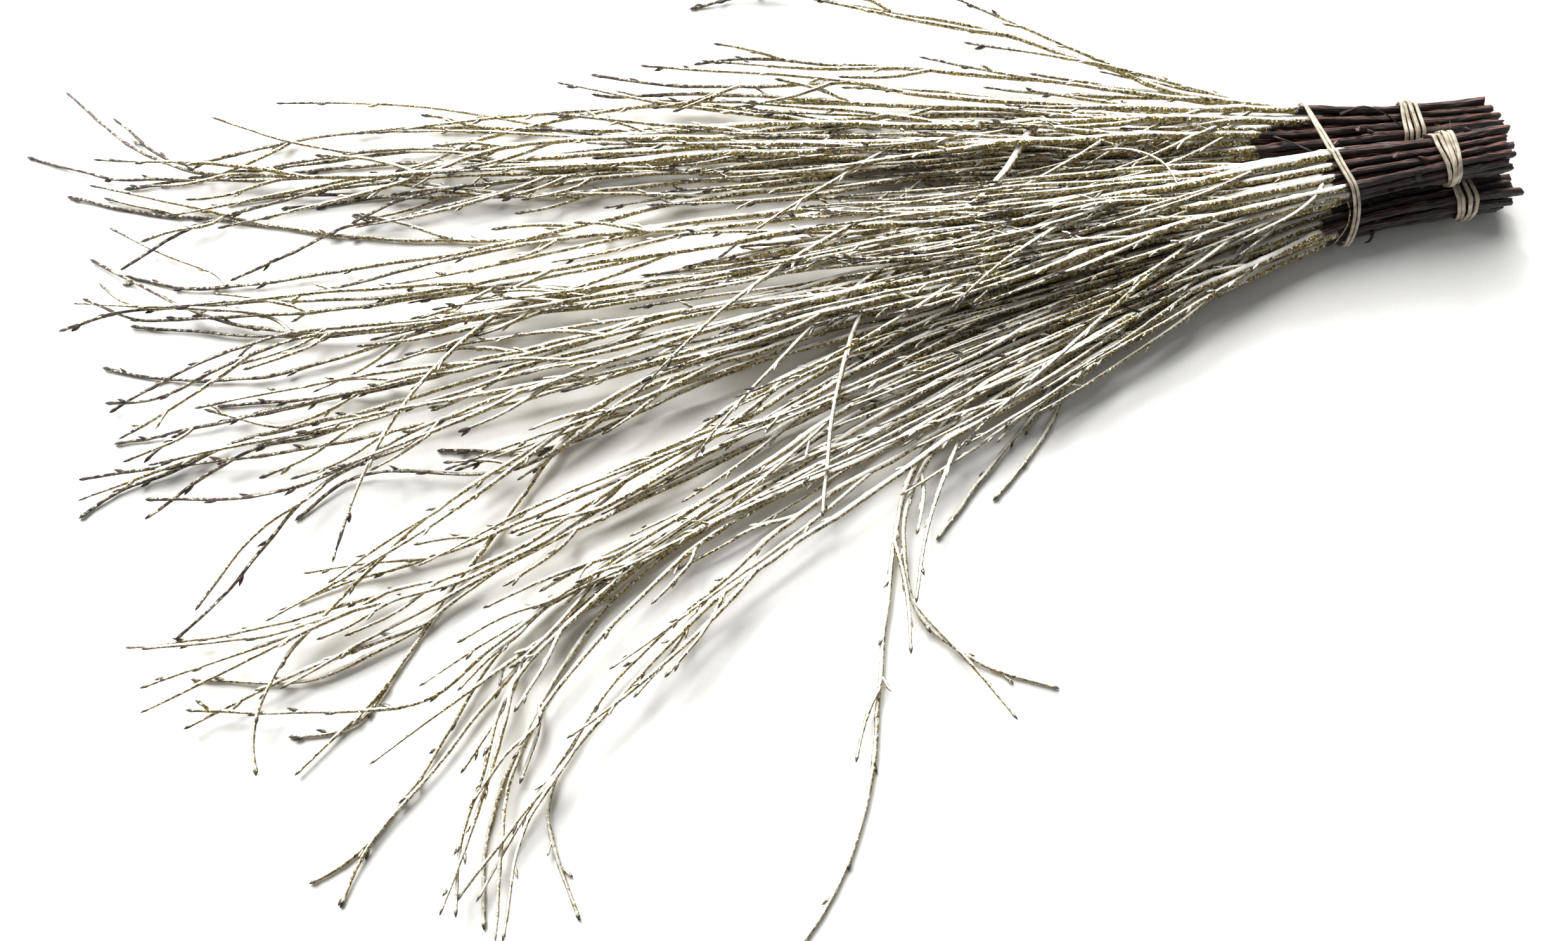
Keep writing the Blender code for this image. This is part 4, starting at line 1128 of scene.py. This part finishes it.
def twig_tree():
    """Geometry Nodes that turn a twig's lines into bark, buds and glitter."""
    tree = bpy.data.node_groups.new("twig_surface", "GeometryNodeTree")
    for name, kind in (
        ("Lines", "Geometry"), ("Crust depth", "Float"), ("Crust size", "Float"), ("Wrinkle depth", "Float"),
        ("Grains per square metre", "Float"), ("Grain radius", "Float"), ("Seed", "Int"),
        ("Bark", "Material"), ("Grain", "Material"),
    ):
        tree.interface.new_socket(name, in_out="INPUT", socket_type="NodeSocket" + kind)
    tree.interface.new_socket("Twig", in_out="OUTPUT", socket_type="NodeSocketGeometry")
    given = tree.nodes.new("NodeGroupInput").outputs
    place = add_node(tree, "GeometryNodeInputPosition")
    thickness, frost, along, what = (
        add_node(tree, "GeometryNodeInputNamedAttribute", {"Name": name}, data_type="FLOAT")
        for name in ("thickness", "frost", "along", "kind")
    )
    ring = add_node(tree, "GeometryNodeInputNamedAttribute", {"Name": "ring"}, data_type="FLOAT_VECTOR")

    # Each kind of line is swept with its own number of sides, and keeps its place round the ring
    swept = []
    for kind, sides in RING_SIDES.items():
        chosen = add_node(tree, "ShaderNodeMath", (what, float(kind), 0.1), operation="COMPARE")
        lines = add_node(tree, "GeometryNodeMeshToCurve", {"Mesh": given["Lines"], "Selection": chosen})
        circle = add_node(tree, "GeometryNodeCurvePrimitiveCircle", {"Resolution": sides, "Radius": 1.0})
        kept = add_node(tree, "GeometryNodeStoreNamedAttribute", {
            "Geometry": circle, "Name": "ring", "Value": place,
        }, data_type="FLOAT_VECTOR", domain="POINT")
        swept.append(add_node(tree, "GeometryNodeCurveToMesh", {
            "Curve": lines, "Profile Curve": kept, "Scale": thickness, "Fill Caps": True,
        }))
    body = add_node(tree, "GeometryNodeJoinGeometry", {"Geometry": swept[0]})
    for other in swept[1:]:
        tree.links.new(other, body.node.inputs["Geometry"])

    # Lumps where the paint is thick, and long wrinkles where the bark is bare
    crust = add_node(tree, "ShaderNodeTexNoise", {
        "Vector": place, "Scale": given["Crust size"], "Detail": 2.0,
    }, "Fac")
    run = add_node(tree, "ShaderNodeMath", (along, 50.0), operation="MULTIPLY")
    run = add_node(tree, "ShaderNodeCombineXYZ", {"Z": run})
    wrinkle = add_node(tree, "ShaderNodeTexNoise", {
        "Vector": add_node(tree, "ShaderNodeVectorMath", (ring, run), operation="ADD"),
        "W": add_node(tree, "ShaderNodeMath", (given["Seed"], 3.7), operation="MULTIPLY"),
        "Scale": 1.6, "Detail": 2.5,
    }, "Fac", noise_dimensions="4D")
    bare = add_node(tree, "ShaderNodeMath", (1.0, frost), operation="SUBTRACT")
    lifts = []
    for pattern, level, depth, share in (
        (crust, 0.42, given["Crust depth"], frost), (wrinkle, 0.5, given["Wrinkle depth"], bare),
    ):
        lift = add_node(tree, "ShaderNodeMath", (pattern, level), operation="SUBTRACT")
        for by in (depth, share):
            lift = add_node(tree, "ShaderNodeMath", (lift, by), operation="MULTIPLY")
        lifts.append(lift)
    lift = add_node(tree, "ShaderNodeVectorMath", {
        0: add_node(tree, "GeometryNodeInputNormal"),
        "Scale": add_node(tree, "ShaderNodeMath", lifts, operation="ADD"),
    }, operation="SCALE")
    lifted = add_node(tree, "GeometryNodeSetPosition", {"Geometry": body, "Offset": lift})
    smooth = add_node(tree, "GeometryNodeSetShadeSmooth", {"Geometry": lifted, "Shade Smooth": True})
    barked = add_node(tree, "GeometryNodeSetMaterial", {"Geometry": smooth, "Material": given["Bark"]})

    # Glitter chips where the paint is thick, each turned and sized its own way
    dense = add_node(tree, "ShaderNodeMath", (frost, 2.0), operation="POWER")
    dense = add_node(tree, "ShaderNodeMath", (given["Grains per square metre"], dense), operation="MULTIPLY")
    spots = add_node(tree, "GeometryNodeDistributePointsOnFaces", {
        "Mesh": lifted, "Seed": given["Seed"], "Density": dense,
    }, "Points", distribute_method="RANDOM")
    chip = add_node(tree, "GeometryNodeMeshCone", {
        "Vertices": 3, "Side Segments": 1, "Radius Top": 0.0, "Radius Bottom": 1.0, "Depth": 1.3,
    }, "Mesh")
    turn_by = add_node(tree, "FunctionNodeRandomValue", {
        0: (0.0, 0.0, 0.0), 1: (6.283, 6.283, 6.283), "Seed": given["Seed"],
    }, data_type="FLOAT_VECTOR")
    size_by = add_node(tree, "FunctionNodeRandomValue", {
        0: GRAIN_SIZES[0], 1: GRAIN_SIZES[1],
        "Seed": add_node(tree, "ShaderNodeMath", (given["Seed"], 7.0), operation="ADD"),
    }, data_type="FLOAT_VECTOR")
    chips = add_node(tree, "GeometryNodeInstanceOnPoints", {
        "Points": spots, "Instance": chip, "Rotation": turn_by,
        "Scale": add_node(tree, "ShaderNodeVectorMath", {
            0: size_by, "Scale": given["Grain radius"],
        }, operation="SCALE"),
    })
    glittered = add_node(tree, "GeometryNodeSetMaterial", {"Geometry": chips, "Material": given["Grain"]})
    both = add_node(tree, "GeometryNodeJoinGeometry", {"Geometry": barked})
    tree.links.new(glittered, both.node.inputs["Geometry"])
    real = add_node(tree, "GeometryNodeRealizeInstances", {"Geometry": both})
    tree.links.new(real, tree.nodes.new("NodeGroupOutput").inputs[0])
    return tree


def new_material(name):
    """A material with its node tree, its shader and the piece's own coordinates."""
    made = bpy.data.materials.new(name)
    made.use_nodes = True
    tree = made.node_tree
    return made, tree, tree.nodes["Principled BSDF"], add_node(tree, "ShaderNodeTexCoord", out="Object")


def layered(tree, colour, layers):
    """Colours laid one over another, each with its pattern, the ends of that, and its shares there."""
    for pattern, low, high, first, last, over in layers:
        share = add_node(tree, "ShaderNodeMapRange", (pattern, low, high, first, last),
                         interpolation_type="SMOOTHSTEP")
        colour = add_node(tree, "ShaderNodeMix", {0: share, 6: colour, 7: over}, 2, data_type="RGBA")
    return colour


def frosted_bark():
    """Birch bark, dark and satin with long wrinkles where bare, under frost paint and glitter.

    The paint was put on from above, so it is white on that side and olive with glitter below. That white is
    partly real frost and partly a painted highlight of the strong light from behind. The bare bark is painted
    darker, as shade, on its sides turned away from that light."""
    made, tree, shader, coords = new_material("frosted_bark")
    frost, bud, along, ring = (
        add_node(tree, "ShaderNodeAttribute", out=output, attribute_name=name)
        for name, output in (("frost", "Fac"), ("bud", "Fac"), ("along", "Fac"), ("ring", "Vector"))
    )
    run = add_node(tree, "ShaderNodeMath", (along, 34.0), operation="MULTIPLY")
    run = add_node(tree, "ShaderNodeCombineXYZ", {"Z": run})
    stretched = add_node(tree, "ShaderNodeVectorMath", (ring, run), operation="ADD")

    # Wrinkles along the bark, brown patches 11 mm across, clumps of paint 2 mm and drifts 33 mm across
    wrinkles, patches, clumps, drifts = (
        add_node(tree, "ShaderNodeTexNoise", {"Vector": vector, "Scale": scale, "Detail": detail}, "Fac")
        for vector, scale, detail in (
            (stretched, 3.2, 5.0), (coords, 90.0, 2.0), (coords, 520.0, 3.0), (coords, 30.0, 2.0),
        )
    )
    # How far each face turns towards the way the paint and the strong light come from
    facing_spray_and_light = add_node(tree, "ShaderNodeVectorMath", {
        0: add_node(tree, "ShaderNodeTexCoord", out="Normal"), 1: SPRAY_AND_LIGHT_FROM,
    }, "Value", operation="DOT_PRODUCT")
    # Bare bark: near black, lighter brown on the wrinkles, red-brown patches, and near black again as painted
    # shade where it turns away from the strong light
    bark = layered(tree, paint("070303"), (
        (wrinkles, 0.46, 0.60, 0.0, 1.0, paint("7C564B")),
        (patches, 0.52, 0.70, 0.0, 0.5, paint("5E231B")),
        (facing_spray_and_light, 0.15, 0.95, 0.85, 0.0, paint("050303")),
    ))

    # Gold and silver flecks are drawn 0.8 mm across, as finer ones wouldn't show
    flecks = add_node(tree, "ShaderNodeTexVoronoi", {"Vector": coords, "Scale": 1 / (0.8 * MM)}, "Color")
    flecks = add_node(tree, "ShaderNodeSeparateColor", {"Color": flecks}).node.outputs
    shade = layered(tree, paint("574D26"), (
        (clumps, 0.38, 0.62, 0.0, 1.0, paint("A5975C")),
        (flecks[0], 0.64, 0.70, 0.0, 1.0, paint("B59C52")),
        (flecks[1], 0.84, 0.88, 0.0, 1.0, paint("F2EFE2")),
        (frost, 0.40, 0.80, 0.75, 0.0, paint("68634F")),
    ))
    # White frost where the face turns to the paint and the strong light, broken up by clumps and drifts:
    # partly real frost, partly painted highlight
    lit = add_node(tree, "ShaderNodeMath", (clumps, 0.8, facing_spray_and_light), operation="MULTIPLY_ADD")
    lit = add_node(tree, "ShaderNodeMath", (drifts, 1.2, lit), operation="MULTIPLY_ADD")
    patchy = add_node(tree, "ShaderNodeMath", (clumps, 1.2, frost), operation="MULTIPLY_ADD")
    lit, thick, cover = (
        add_node(tree, "ShaderNodeMapRange", (source, *ends), interpolation_type="SMOOTHSTEP")
        for source, ends in (
            (lit, (1.49, 1.71)), (frost, (0.40, 0.95, 0.30, 1.0)), (patchy, (0.90, 1.10)),
        )
    )
    white = add_node(tree, "ShaderNodeMath", (lit, thick), operation="MULTIPLY")
    skin = add_node(tree, "ShaderNodeMix", {0: white, 6: shade, 7: paint("F1EFE6")}, 2, data_type="RGBA")
    skin = add_node(tree, "ShaderNodeMix", {0: cover, 6: bark, 7: skin}, 2, data_type="RGBA")
    skin = layered(tree, skin, ((bud, 0.35, 0.9, 0.0, 0.85, paint("33261A")),))

    # Flake by flake, a normal that leans its own way and a chance of bare foil, so each flashes on its own
    flaky = add_node(tree, "ShaderNodeMath", (white, -0.8, 1.0), operation="MULTIPLY_ADD")
    flaky = add_node(tree, "ShaderNodeMath", (cover, flaky), operation="MULTIPLY")
    flakes = add_node(tree, "ShaderNodeTexVoronoi", {"Vector": coords, "Scale": 1 / FLAKE_SIZE}, "Color")
    lean = add_node(tree, "ShaderNodeVectorMath", (flakes, (0.5, 0.5, 0.5)), operation="SUBTRACT")
    lean = add_node(tree, "ShaderNodeVectorMath", {
        0: lean, "Scale": add_node(tree, "ShaderNodeMath", (flaky, FLAKE_TILT), operation="MULTIPLY"),
    }, operation="SCALE")
    upright = add_node(tree, "ShaderNodeNewGeometry", out="Normal")
    lean = add_node(tree, "ShaderNodeVectorMath", (upright, lean), operation="ADD")
    lean = add_node(tree, "ShaderNodeVectorMath", (lean,), operation="NORMALIZE")
    foil = add_node(tree, "ShaderNodeMapRange", (
        add_node(tree, "ShaderNodeSeparateColor", {"Color": flakes}, 1), 0.62, 0.66,
    ), interpolation_type="SMOOTHSTEP")
    foil = add_node(tree, "ShaderNodeMath", (foil, flaky), operation="MULTIPLY")
    low_clumps = add_node(tree, "ShaderNodeMath", (clumps, 0.27), operation="MULTIPLY")
    bumps = add_node(tree, "ShaderNodeBump", {
        "Strength": 1.0, "Distance": 0.9 * MM, "Normal": lean,
        "Height": add_node(tree, "ShaderNodeMix", {
            0: cover, 6: wrinkles, 7: low_clumps,
        }, 2, data_type="RGBA"),
    })
    rough = add_node(tree, "ShaderNodeMapRange", (foil, 0.0, 1.0, 0.33, 0.20),
                     interpolation_type="SMOOTHSTEP")
    metal = add_node(tree, "ShaderNodeMath", (foil, 0.7), operation="MULTIPLY")
    for name, value in (("Base Color", skin), ("Normal", bumps), ("Metallic", metal), ("Roughness", rough)):
        tree.links.new(value, shader.inputs[name])
    shader.inputs["Specular IOR Level"].default_value = 0.6
    return made


def glitter_grain():
    """Coarse glitter, chips of metallised film, gold and silver, stuck in the wet paint."""
    made, tree, shader, coords = new_material("glitter_grain")
    chips = add_node(tree, "ShaderNodeTexVoronoi", {"Vector": coords, "Scale": 900.0}, "Color")
    chips = add_node(tree, "ShaderNodeSeparateColor", {"Color": chips}).node.outputs
    colour = layered(tree, paint("F2F0E8"), ((chips[0], 0.55, 0.6, 0.0, 1.0, paint("CDB36A")),))
    tree.links.new(colour, shader.inputs["Base Color"])
    for name, chip, ends in (
        ("Metallic", chips[1], (0.6, 0.7, 0.0, 0.8)), ("Roughness", chips[2], (0.2, 0.8, 0.15, 0.45)),
    ):
        spread = add_node(tree, "ShaderNodeMapRange", (chip, *ends), interpolation_type="SMOOTHSTEP")
        tree.links.new(spread, shader.inputs[name])
    return made


def cut_wood():
    """Pale sapwood on a pruned end, dull, with grain drawn 0.7 mm across."""
    made, tree, shader, coords = new_material("cut_wood")
    grain = add_node(tree, "ShaderNodeTexNoise", {"Vector": coords, "Scale": 1400.0, "Detail": 4.0}, "Fac")
    colour = add_node(tree, "ShaderNodeMix", {
        0: grain, 6: paint("57422F"), 7: paint("A08464"),
    }, 2, data_type="RGBA")
    bumps = add_node(tree, "ShaderNodeBump", {"Strength": 0.5, "Distance": 0.15 * MM, "Height": grain})
    tree.links.new(colour, shader.inputs["Base Color"])
    tree.links.new(bumps, shader.inputs["Normal"])
    shader.inputs["Roughness"].default_value = 0.75
    return made


def grow(name, carrier, tree, materials, seed):
    """A twig's lines swept into its finished mesh."""
    made = bpy.data.objects.new(name, carrier.mesh(name + "_lines"))
    bpy.context.scene.collection.objects.link(made)
    nodes = made.modifiers.new("surface", "NODES")
    nodes.node_group = tree
    inputs = {item.name: item.identifier for item in tree.interface.items_tree if item.in_out == "INPUT"}
    for key, value in (
        ("Crust depth", CRUST_DEPTH), ("Crust size", CRUST_SIZE), ("Wrinkle depth", WRINKLE_DEPTH),
        ("Grains per square metre", GRAINS), ("Grain radius", GRAIN_RADIUS), ("Seed", seed),
        ("Bark", materials[0]), ("Grain", materials[1]),
    ):
        nodes[inputs[key]] = value
    bpy.context.view_layer.update()
    mesh = bpy.data.meshes.new_from_object(made.evaluated_get(bpy.context.evaluated_depsgraph_get()))
    made.modifiers.remove(nodes)
    made.data = mesh
    mesh.name = name
    mesh.materials.append(materials[2])
    dice = random.Random(f"cut {name}")
    for face in mesh.polygons:
        if len(face.vertices) <= CUT_SIDES:
            continue
        face.material_index = len(mesh.materials) - 1
        face.use_smooth = False
        if face.normal.x > CUT_FACING:
            middle = face.center.copy()
            slant = Vector((0, dice.uniform(-1, 1), dice.uniform(-1, 1))) * CUT_SLANT
            for index in face.vertices:
                place = mesh.vertices[index]
                place.co.x += slant.dot(place.co - middle) + dice.uniform(-1, 1) * CUT_ROUGHNESS
    return made


surface = twig_tree()
twig_materials = (frosted_bark(), glitter_grain(), cut_wood())
carriers = {}
for limb in LIMBS:
    twig = limb["twig"]
    if twig not in carriers:
        carriers[twig] = Carrier()
        dice = random.Random(f"coat {twig}")
        deep = twig.startswith("twig_back") and fine.at[limb["fine_start"]][1] < DEEP_SIDE
        coat_line = dice.uniform(*(DEEP_COAT_LINE if deep else COAT_LINE)) - shift.x
    dress_limb(carriers[twig], limb, coat_line)
for twig, frost, radius, way in STRAYS:
    add_stray(carriers[twig], way, radius, frost)
for seed, (twig, carrier) in enumerate(carriers.items()):
    piece = grow(twig.replace("twig_", "frosted_twig_"), carrier, surface, twig_materials, seed + 1)
    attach(piece, "root")
    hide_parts(twig)

# The rubber bands
# Natural rubber, cut square and wound: five turns of one narrow band round each small bundle, and two
# turns of a longer one round all three. Each turn stretches round the stems it holds and crosses others.
BAND_WIDTH = 7.0 * MM
BIG_BAND_TURN = math.radians(6.6)
HULL_POINTS = 20
BAND_STEPS = 110
STRAND_WIDTH = 1.5 * MM
BIG_STRAND_WIDTH = 1.2 * MM
STRAND_THICKNESS = 1.0 * MM
LAYER_PITCH = 1.02
LAYER_CHANGES_AT = 0.8
BAND_LEAN = 0.22
STRAND_CORNERS = 12
STRAND_SQUARENESS = 0.5
PULL_AT = 0.16
PULL_REACH = 0.12
LOOSE_TURNS = 0.9 * MM
SMALL_TURNS = (
    (-4.0 * MM, -0.6 * MM, 0), (-1.5 * MM, 1.5 * MM, 0), (1.2 * MM, 3.0 * MM, 0),
    (3.8 * MM, 0.3 * MM, 1), (0.3 * MM, -1.0 * MM, 1),
)
BIG_TURNS = ((-1.0 * MM, -0.8 * MM, 0), (0.8 * MM, 0.9 * MM, 0))
BIG_PULL = 6.0 * MM


def sections(pile, names, middle, across, along, reach):
    """Where the named stems pass the plane of a band, as round spots in that plane."""
    spots = []
    for name, start, count in pile.limbs:
        if not name.startswith(names):
            continue
        for i in range(start, start + count - 1):
            a, b = Vector(pile.at[i]), Vector(pile.at[i + 1])
            for level in (-reach, 0.0, reach):
                low, high = (a - middle).dot(along) - level, (b - middle).dot(along) - level
                if low * high > 0 or low == high:
                    continue
                share = low / (low - high)
                place = a.lerp(b, share) - middle
                radius = pile.radii[i] + (pile.radii[i + 1] - pile.radii[i]) * share
                spots.append((place.dot(across), place.z, radius))
    return spots


def hull(points):
    """The convex outline of points in a plane, anticlockwise."""
    points = sorted(set(points))

    def chain(run):
        out = []
        for p in run:
            while len(out) > 1 and turn(out[-2], out[-1], p) <= 0:
                out.pop()
            out.append(p)
        return out[:-1]

    return chain(points) + chain(points[::-1])


def turn(a, b, c):
    """Above nought where the way from a through b to c bends to the left."""
    return (b[0] - a[0]) * (c[1] - a[1]) - (b[1] - a[1]) * (c[0] - a[0])


def band_hull(names, middle, heading, stand_off):
    """The closed line that a stretched band takes round the stems, evenly stepped, with its way out."""
    along = Vector((math.cos(heading), math.sin(heading), 0))
    across = Vector((-math.sin(heading), math.cos(heading), 0))
    spots = sections(fine, names, middle, across, along, BAND_WIDTH / 2)
    rim = []
    for place, up, radius in spots:
        for k in range(HULL_POINTS):
            angle = math.tau * k / HULL_POINTS
            reach = radius + stand_off
            rim.append((place + reach * math.cos(angle), up + reach * math.sin(angle)))
    loop = np.array(hull(rim))
    closed = np.vstack([loop, loop[:1]])
    run = np.concatenate([[0.0], np.cumsum(np.sqrt(((closed[1:] - closed[:-1]) ** 2).sum(1)))])
    stops = np.linspace(0, run[-1], BAND_STEPS + 1)[:-1]
    even = np.stack([np.interp(stops, run, closed[:, k]) for k in (0, 1)], 1)
    even = np.roll(even, -int(np.argmax(even[:, 1])), axis=0)
    for _ in range(2):
        even = (np.roll(even, 1, 0) + 2 * even + np.roll(even, -1, 0)) / 4
    tangent = np.roll(even, -1, 0) - np.roll(even, 1, 0)
    outward = np.stack([tangent[:, 1], -tangent[:, 0]], 1)
    outward /= np.sqrt((outward ** 2).sum(1))[:, None]
    return even, outward, along, across


def wound(even, outward, middle, along, across, turns, stand_off, pull=0.0):
    """The middle line of a band wound round and round, as its places and its ways out.

    Each turn is its place along the stems at the top and at the bottom, and its layer."""
    places, outs = [], []
    count = len(even)
    for k, (top, bottom, layer) in enumerate(turns):
        next_top = turns[(k + 1) % len(turns)][0]
        next_layer = turns[(k + 1) % len(turns)][2]
        for i in range(count):
            share = i / count
            if share < 0.5:
                ease = (1 - math.cos(math.tau * share)) / 2
                axial = top + (bottom - top) * ease
            else:
                ease = (1 - math.cos(math.tau * (share - 0.5))) / 2
                axial = bottom + (next_top - bottom) * ease
            late = max(0.0, (share - LAYER_CHANGES_AT) / (1 - LAYER_CHANGES_AT))
            lift = stand_off + STRAND_THICKNESS * (0.5 + LAYER_PITCH * (layer + (next_layer - layer) * late))
            place = even[i] + outward[i] * lift
            axial -= BAND_LEAN * place[1]
            axial += pull * math.exp(-((share - PULL_AT) / PULL_REACH) ** 2)
            places.append(middle - shift + across * place[0] + Vector((0, 0, place[1])) + along * axial)
            outs.append(across * outward[i][0] + Vector((0, 0, outward[i][1])))
    return places, outs


def strand(name, places, outs, width, thickness):
    """A flat band of rubber along a closed line, lying on its wide side."""
    work = bmesh.new()
    rings = []
    count = len(places)
    for i in range(count):
        tangent = (places[(i + 1) % count] - places[(i - 1) % count]).normalized()
        out = (outs[i] - tangent * outs[i].dot(tangent)).normalized()
        side = tangent.cross(out)
        ring = []
        for k in range(STRAND_CORNERS):
            angle = math.tau * (k + 0.5) / STRAND_CORNERS
            wide, deep = (math.copysign(abs(part) ** STRAND_SQUARENESS, part) * size / 2 for part, size in (
                (math.cos(angle), width), (math.sin(angle), thickness)))
            ring.append(work.verts.new(places[i] + side * wide + out * deep))
        rings.append(ring)
    for a, b in zip(rings, rings[1:] + rings[:1]):
        for k in range(STRAND_CORNERS):
            after = (k + 1) % STRAND_CORNERS
            work.faces.new((a[k], a[after], b[after], b[k]))
    bmesh.ops.recalc_face_normals(work, faces=work.faces)
    mesh = bpy.data.meshes.new(name)
    work.to_mesh(mesh)
    work.free()
    mesh.shade_smooth()
    made = bpy.data.objects.new(name, mesh)
    bpy.context.scene.collection.objects.link(made)
    return made


def natural_rubber():
    """Natural latex rubber, cream and satin, with faint bloom 4 mm across and fine cut marks."""
    made, tree, shader, coords = new_material("natural_rubber")
    bloom, fine_marks = (
        add_node(tree, "ShaderNodeTexNoise", {"Vector": coords, "Scale": scale, "Detail": detail}, "Fac")
        for scale, detail in ((260.0, 4.0), (1500.0, 2.0))
    )
    colour = layered(tree, paint("A39680"), ((bloom, 0.3, 0.7, 0.0, 1.0, paint("E2D8C4")),))
    rough = add_node(tree, "ShaderNodeMapRange", (bloom, 0.2, 0.8, 0.24, 0.40),
                     interpolation_type="SMOOTHSTEP")
    bumps = add_node(tree, "ShaderNodeBump", {"Strength": 0.4, "Distance": 0.1 * MM, "Height": fine_marks})
    for name, value in (("Base Color", colour), ("Roughness", rough), ("Normal", bumps)):
        tree.links.new(value, shader.inputs[name])
    shader.inputs["Subsurface Weight"].default_value = 0.15
    shader.inputs["Subsurface Radius"].default_value = (0.003, 0.002, 0.001)
    return made


rubber = natural_rubber()
for bundle, form in BUNDLES.items():
    middle = Vector(form["band"]) * MM
    heading = math.atan2(form["butt"][1] - form["tie"][1], form["butt"][0] - form["tie"][0])
    even, outward, along, across = band_hull(f"twig_{bundle}", middle, heading, GRAIN_ROOM)
    dice = random.Random(f"turns {bundle}")
    turns = [(top + dice.uniform(-1, 1) * LOOSE_TURNS, bottom + dice.uniform(-1, 1) * LOOSE_TURNS, layer)
             for top, bottom, layer in SMALL_TURNS]
    places, outs = wound(even, outward, middle, along, across, turns, GRAIN_ROOM)
    piece = strand(f"rubber_band_{bundle}", places, outs, STRAND_WIDTH, STRAND_THICKNESS)
    piece.data.materials.append(rubber)
    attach(piece, "root")
    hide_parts(f"band_{bundle}")

middle = Vector((*BIG_BAND_PLACE, PLAN_HEIGHT))
even, outward, along, across = band_hull("twig_", middle, BIG_BAND_TURN, GRAIN_ROOM)
places, outs = wound(even, outward, middle, along, across, BIG_TURNS, GRAIN_ROOM, BIG_PULL)
piece = strand("rubber_band_big", places, outs, BIG_STRAND_WIDTH, STRAND_THICKNESS)
piece.data.materials.append(rubber)
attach(piece, "root")
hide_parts("band_big")

# The table and the light
# A white sheet on a table, a strong soft light from a window behind, a nearer one on the left, and a pale
# room all round. The camera looks down from where the routes were read.
LENS = 28.0
SENSOR = 36.0
TABLE_SIZE = 6.0
WINDOW_WAY = (0.28, -0.92, -0.61)
NEAR_WINDOW_PLACE = (-0.42, 0.32, 0.46)
NEAR_WINDOW_AIM = (-0.20, 0.0, 0.0)
NEAR_WINDOW_SIZE = 0.45
NEAR_WINDOW_POWER = 3.8


def white_sheet():
    """Uncoated white paper, matt, with a faint tooth 1.4 mm across."""
    made, tree, shader, coords = new_material("white_sheet")
    tooth = add_node(tree, "ShaderNodeTexNoise", {"Vector": coords, "Scale": 700.0, "Detail": 3.0}, "Fac")
    colour = add_node(tree, "ShaderNodeMix", {
        0: tooth, 6: paint("F1F0EB"), 7: paint("FAF9F6"),
    }, 2, data_type="RGBA")
    tree.links.new(colour, shader.inputs["Base Color"])
    shader.inputs["Roughness"].default_value = 0.85
    return made


bpy.ops.mesh.primitive_plane_add(size=TABLE_SIZE, location=(0, 0, 0))
table = bpy.context.object
table.name = "table"
table.data.materials.append(white_sheet())

for name, energy, angle in (("window", 5.4, 54.0), ("window_glint", 1.0, 8.0)):
    lamp = bpy.data.lights.new(name, "SUN")
    lamp.energy = energy
    lamp.angle = math.radians(angle)
    light = bpy.data.objects.new(name, lamp)
    light.rotation_euler = Vector(WINDOW_WAY).to_track_quat("-Z", "Y").to_euler()
    bpy.context.scene.collection.objects.link(light)

near = bpy.data.lights.new("near_window", "AREA")
near.shape = "DISK"
near.size = NEAR_WINDOW_SIZE
near.energy = NEAR_WINDOW_POWER
near_window = bpy.data.objects.new("near_window", near)
near_window.location = NEAR_WINDOW_PLACE
aim = Vector(NEAR_WINDOW_AIM) - near_window.location
near_window.rotation_euler = aim.to_track_quat("-Z", "Y").to_euler()
bpy.context.scene.collection.objects.link(near_window)

room = bpy.data.worlds.new("room")
room.use_nodes = True
pale = room.node_tree.nodes["Background"].inputs
pale["Color"].default_value = paint("F4F6F8")
pale["Strength"].default_value = 0.21
bpy.context.scene.world = room
bpy.context.scene.view_settings.view_transform = "Standard"

view = bpy.data.cameras.new("view")
view.lens = LENS
view.sensor_width = SENSOR
camera = bpy.data.objects.new("view", view)
camera.location = Vector(VIEWPOINT) - shift
camera.rotation_euler = (-Vector(VIEWPOINT)).to_track_quat("-Z", "Y").to_euler()
bpy.context.scene.collection.objects.link(camera)
bpy.context.scene.camera = camera
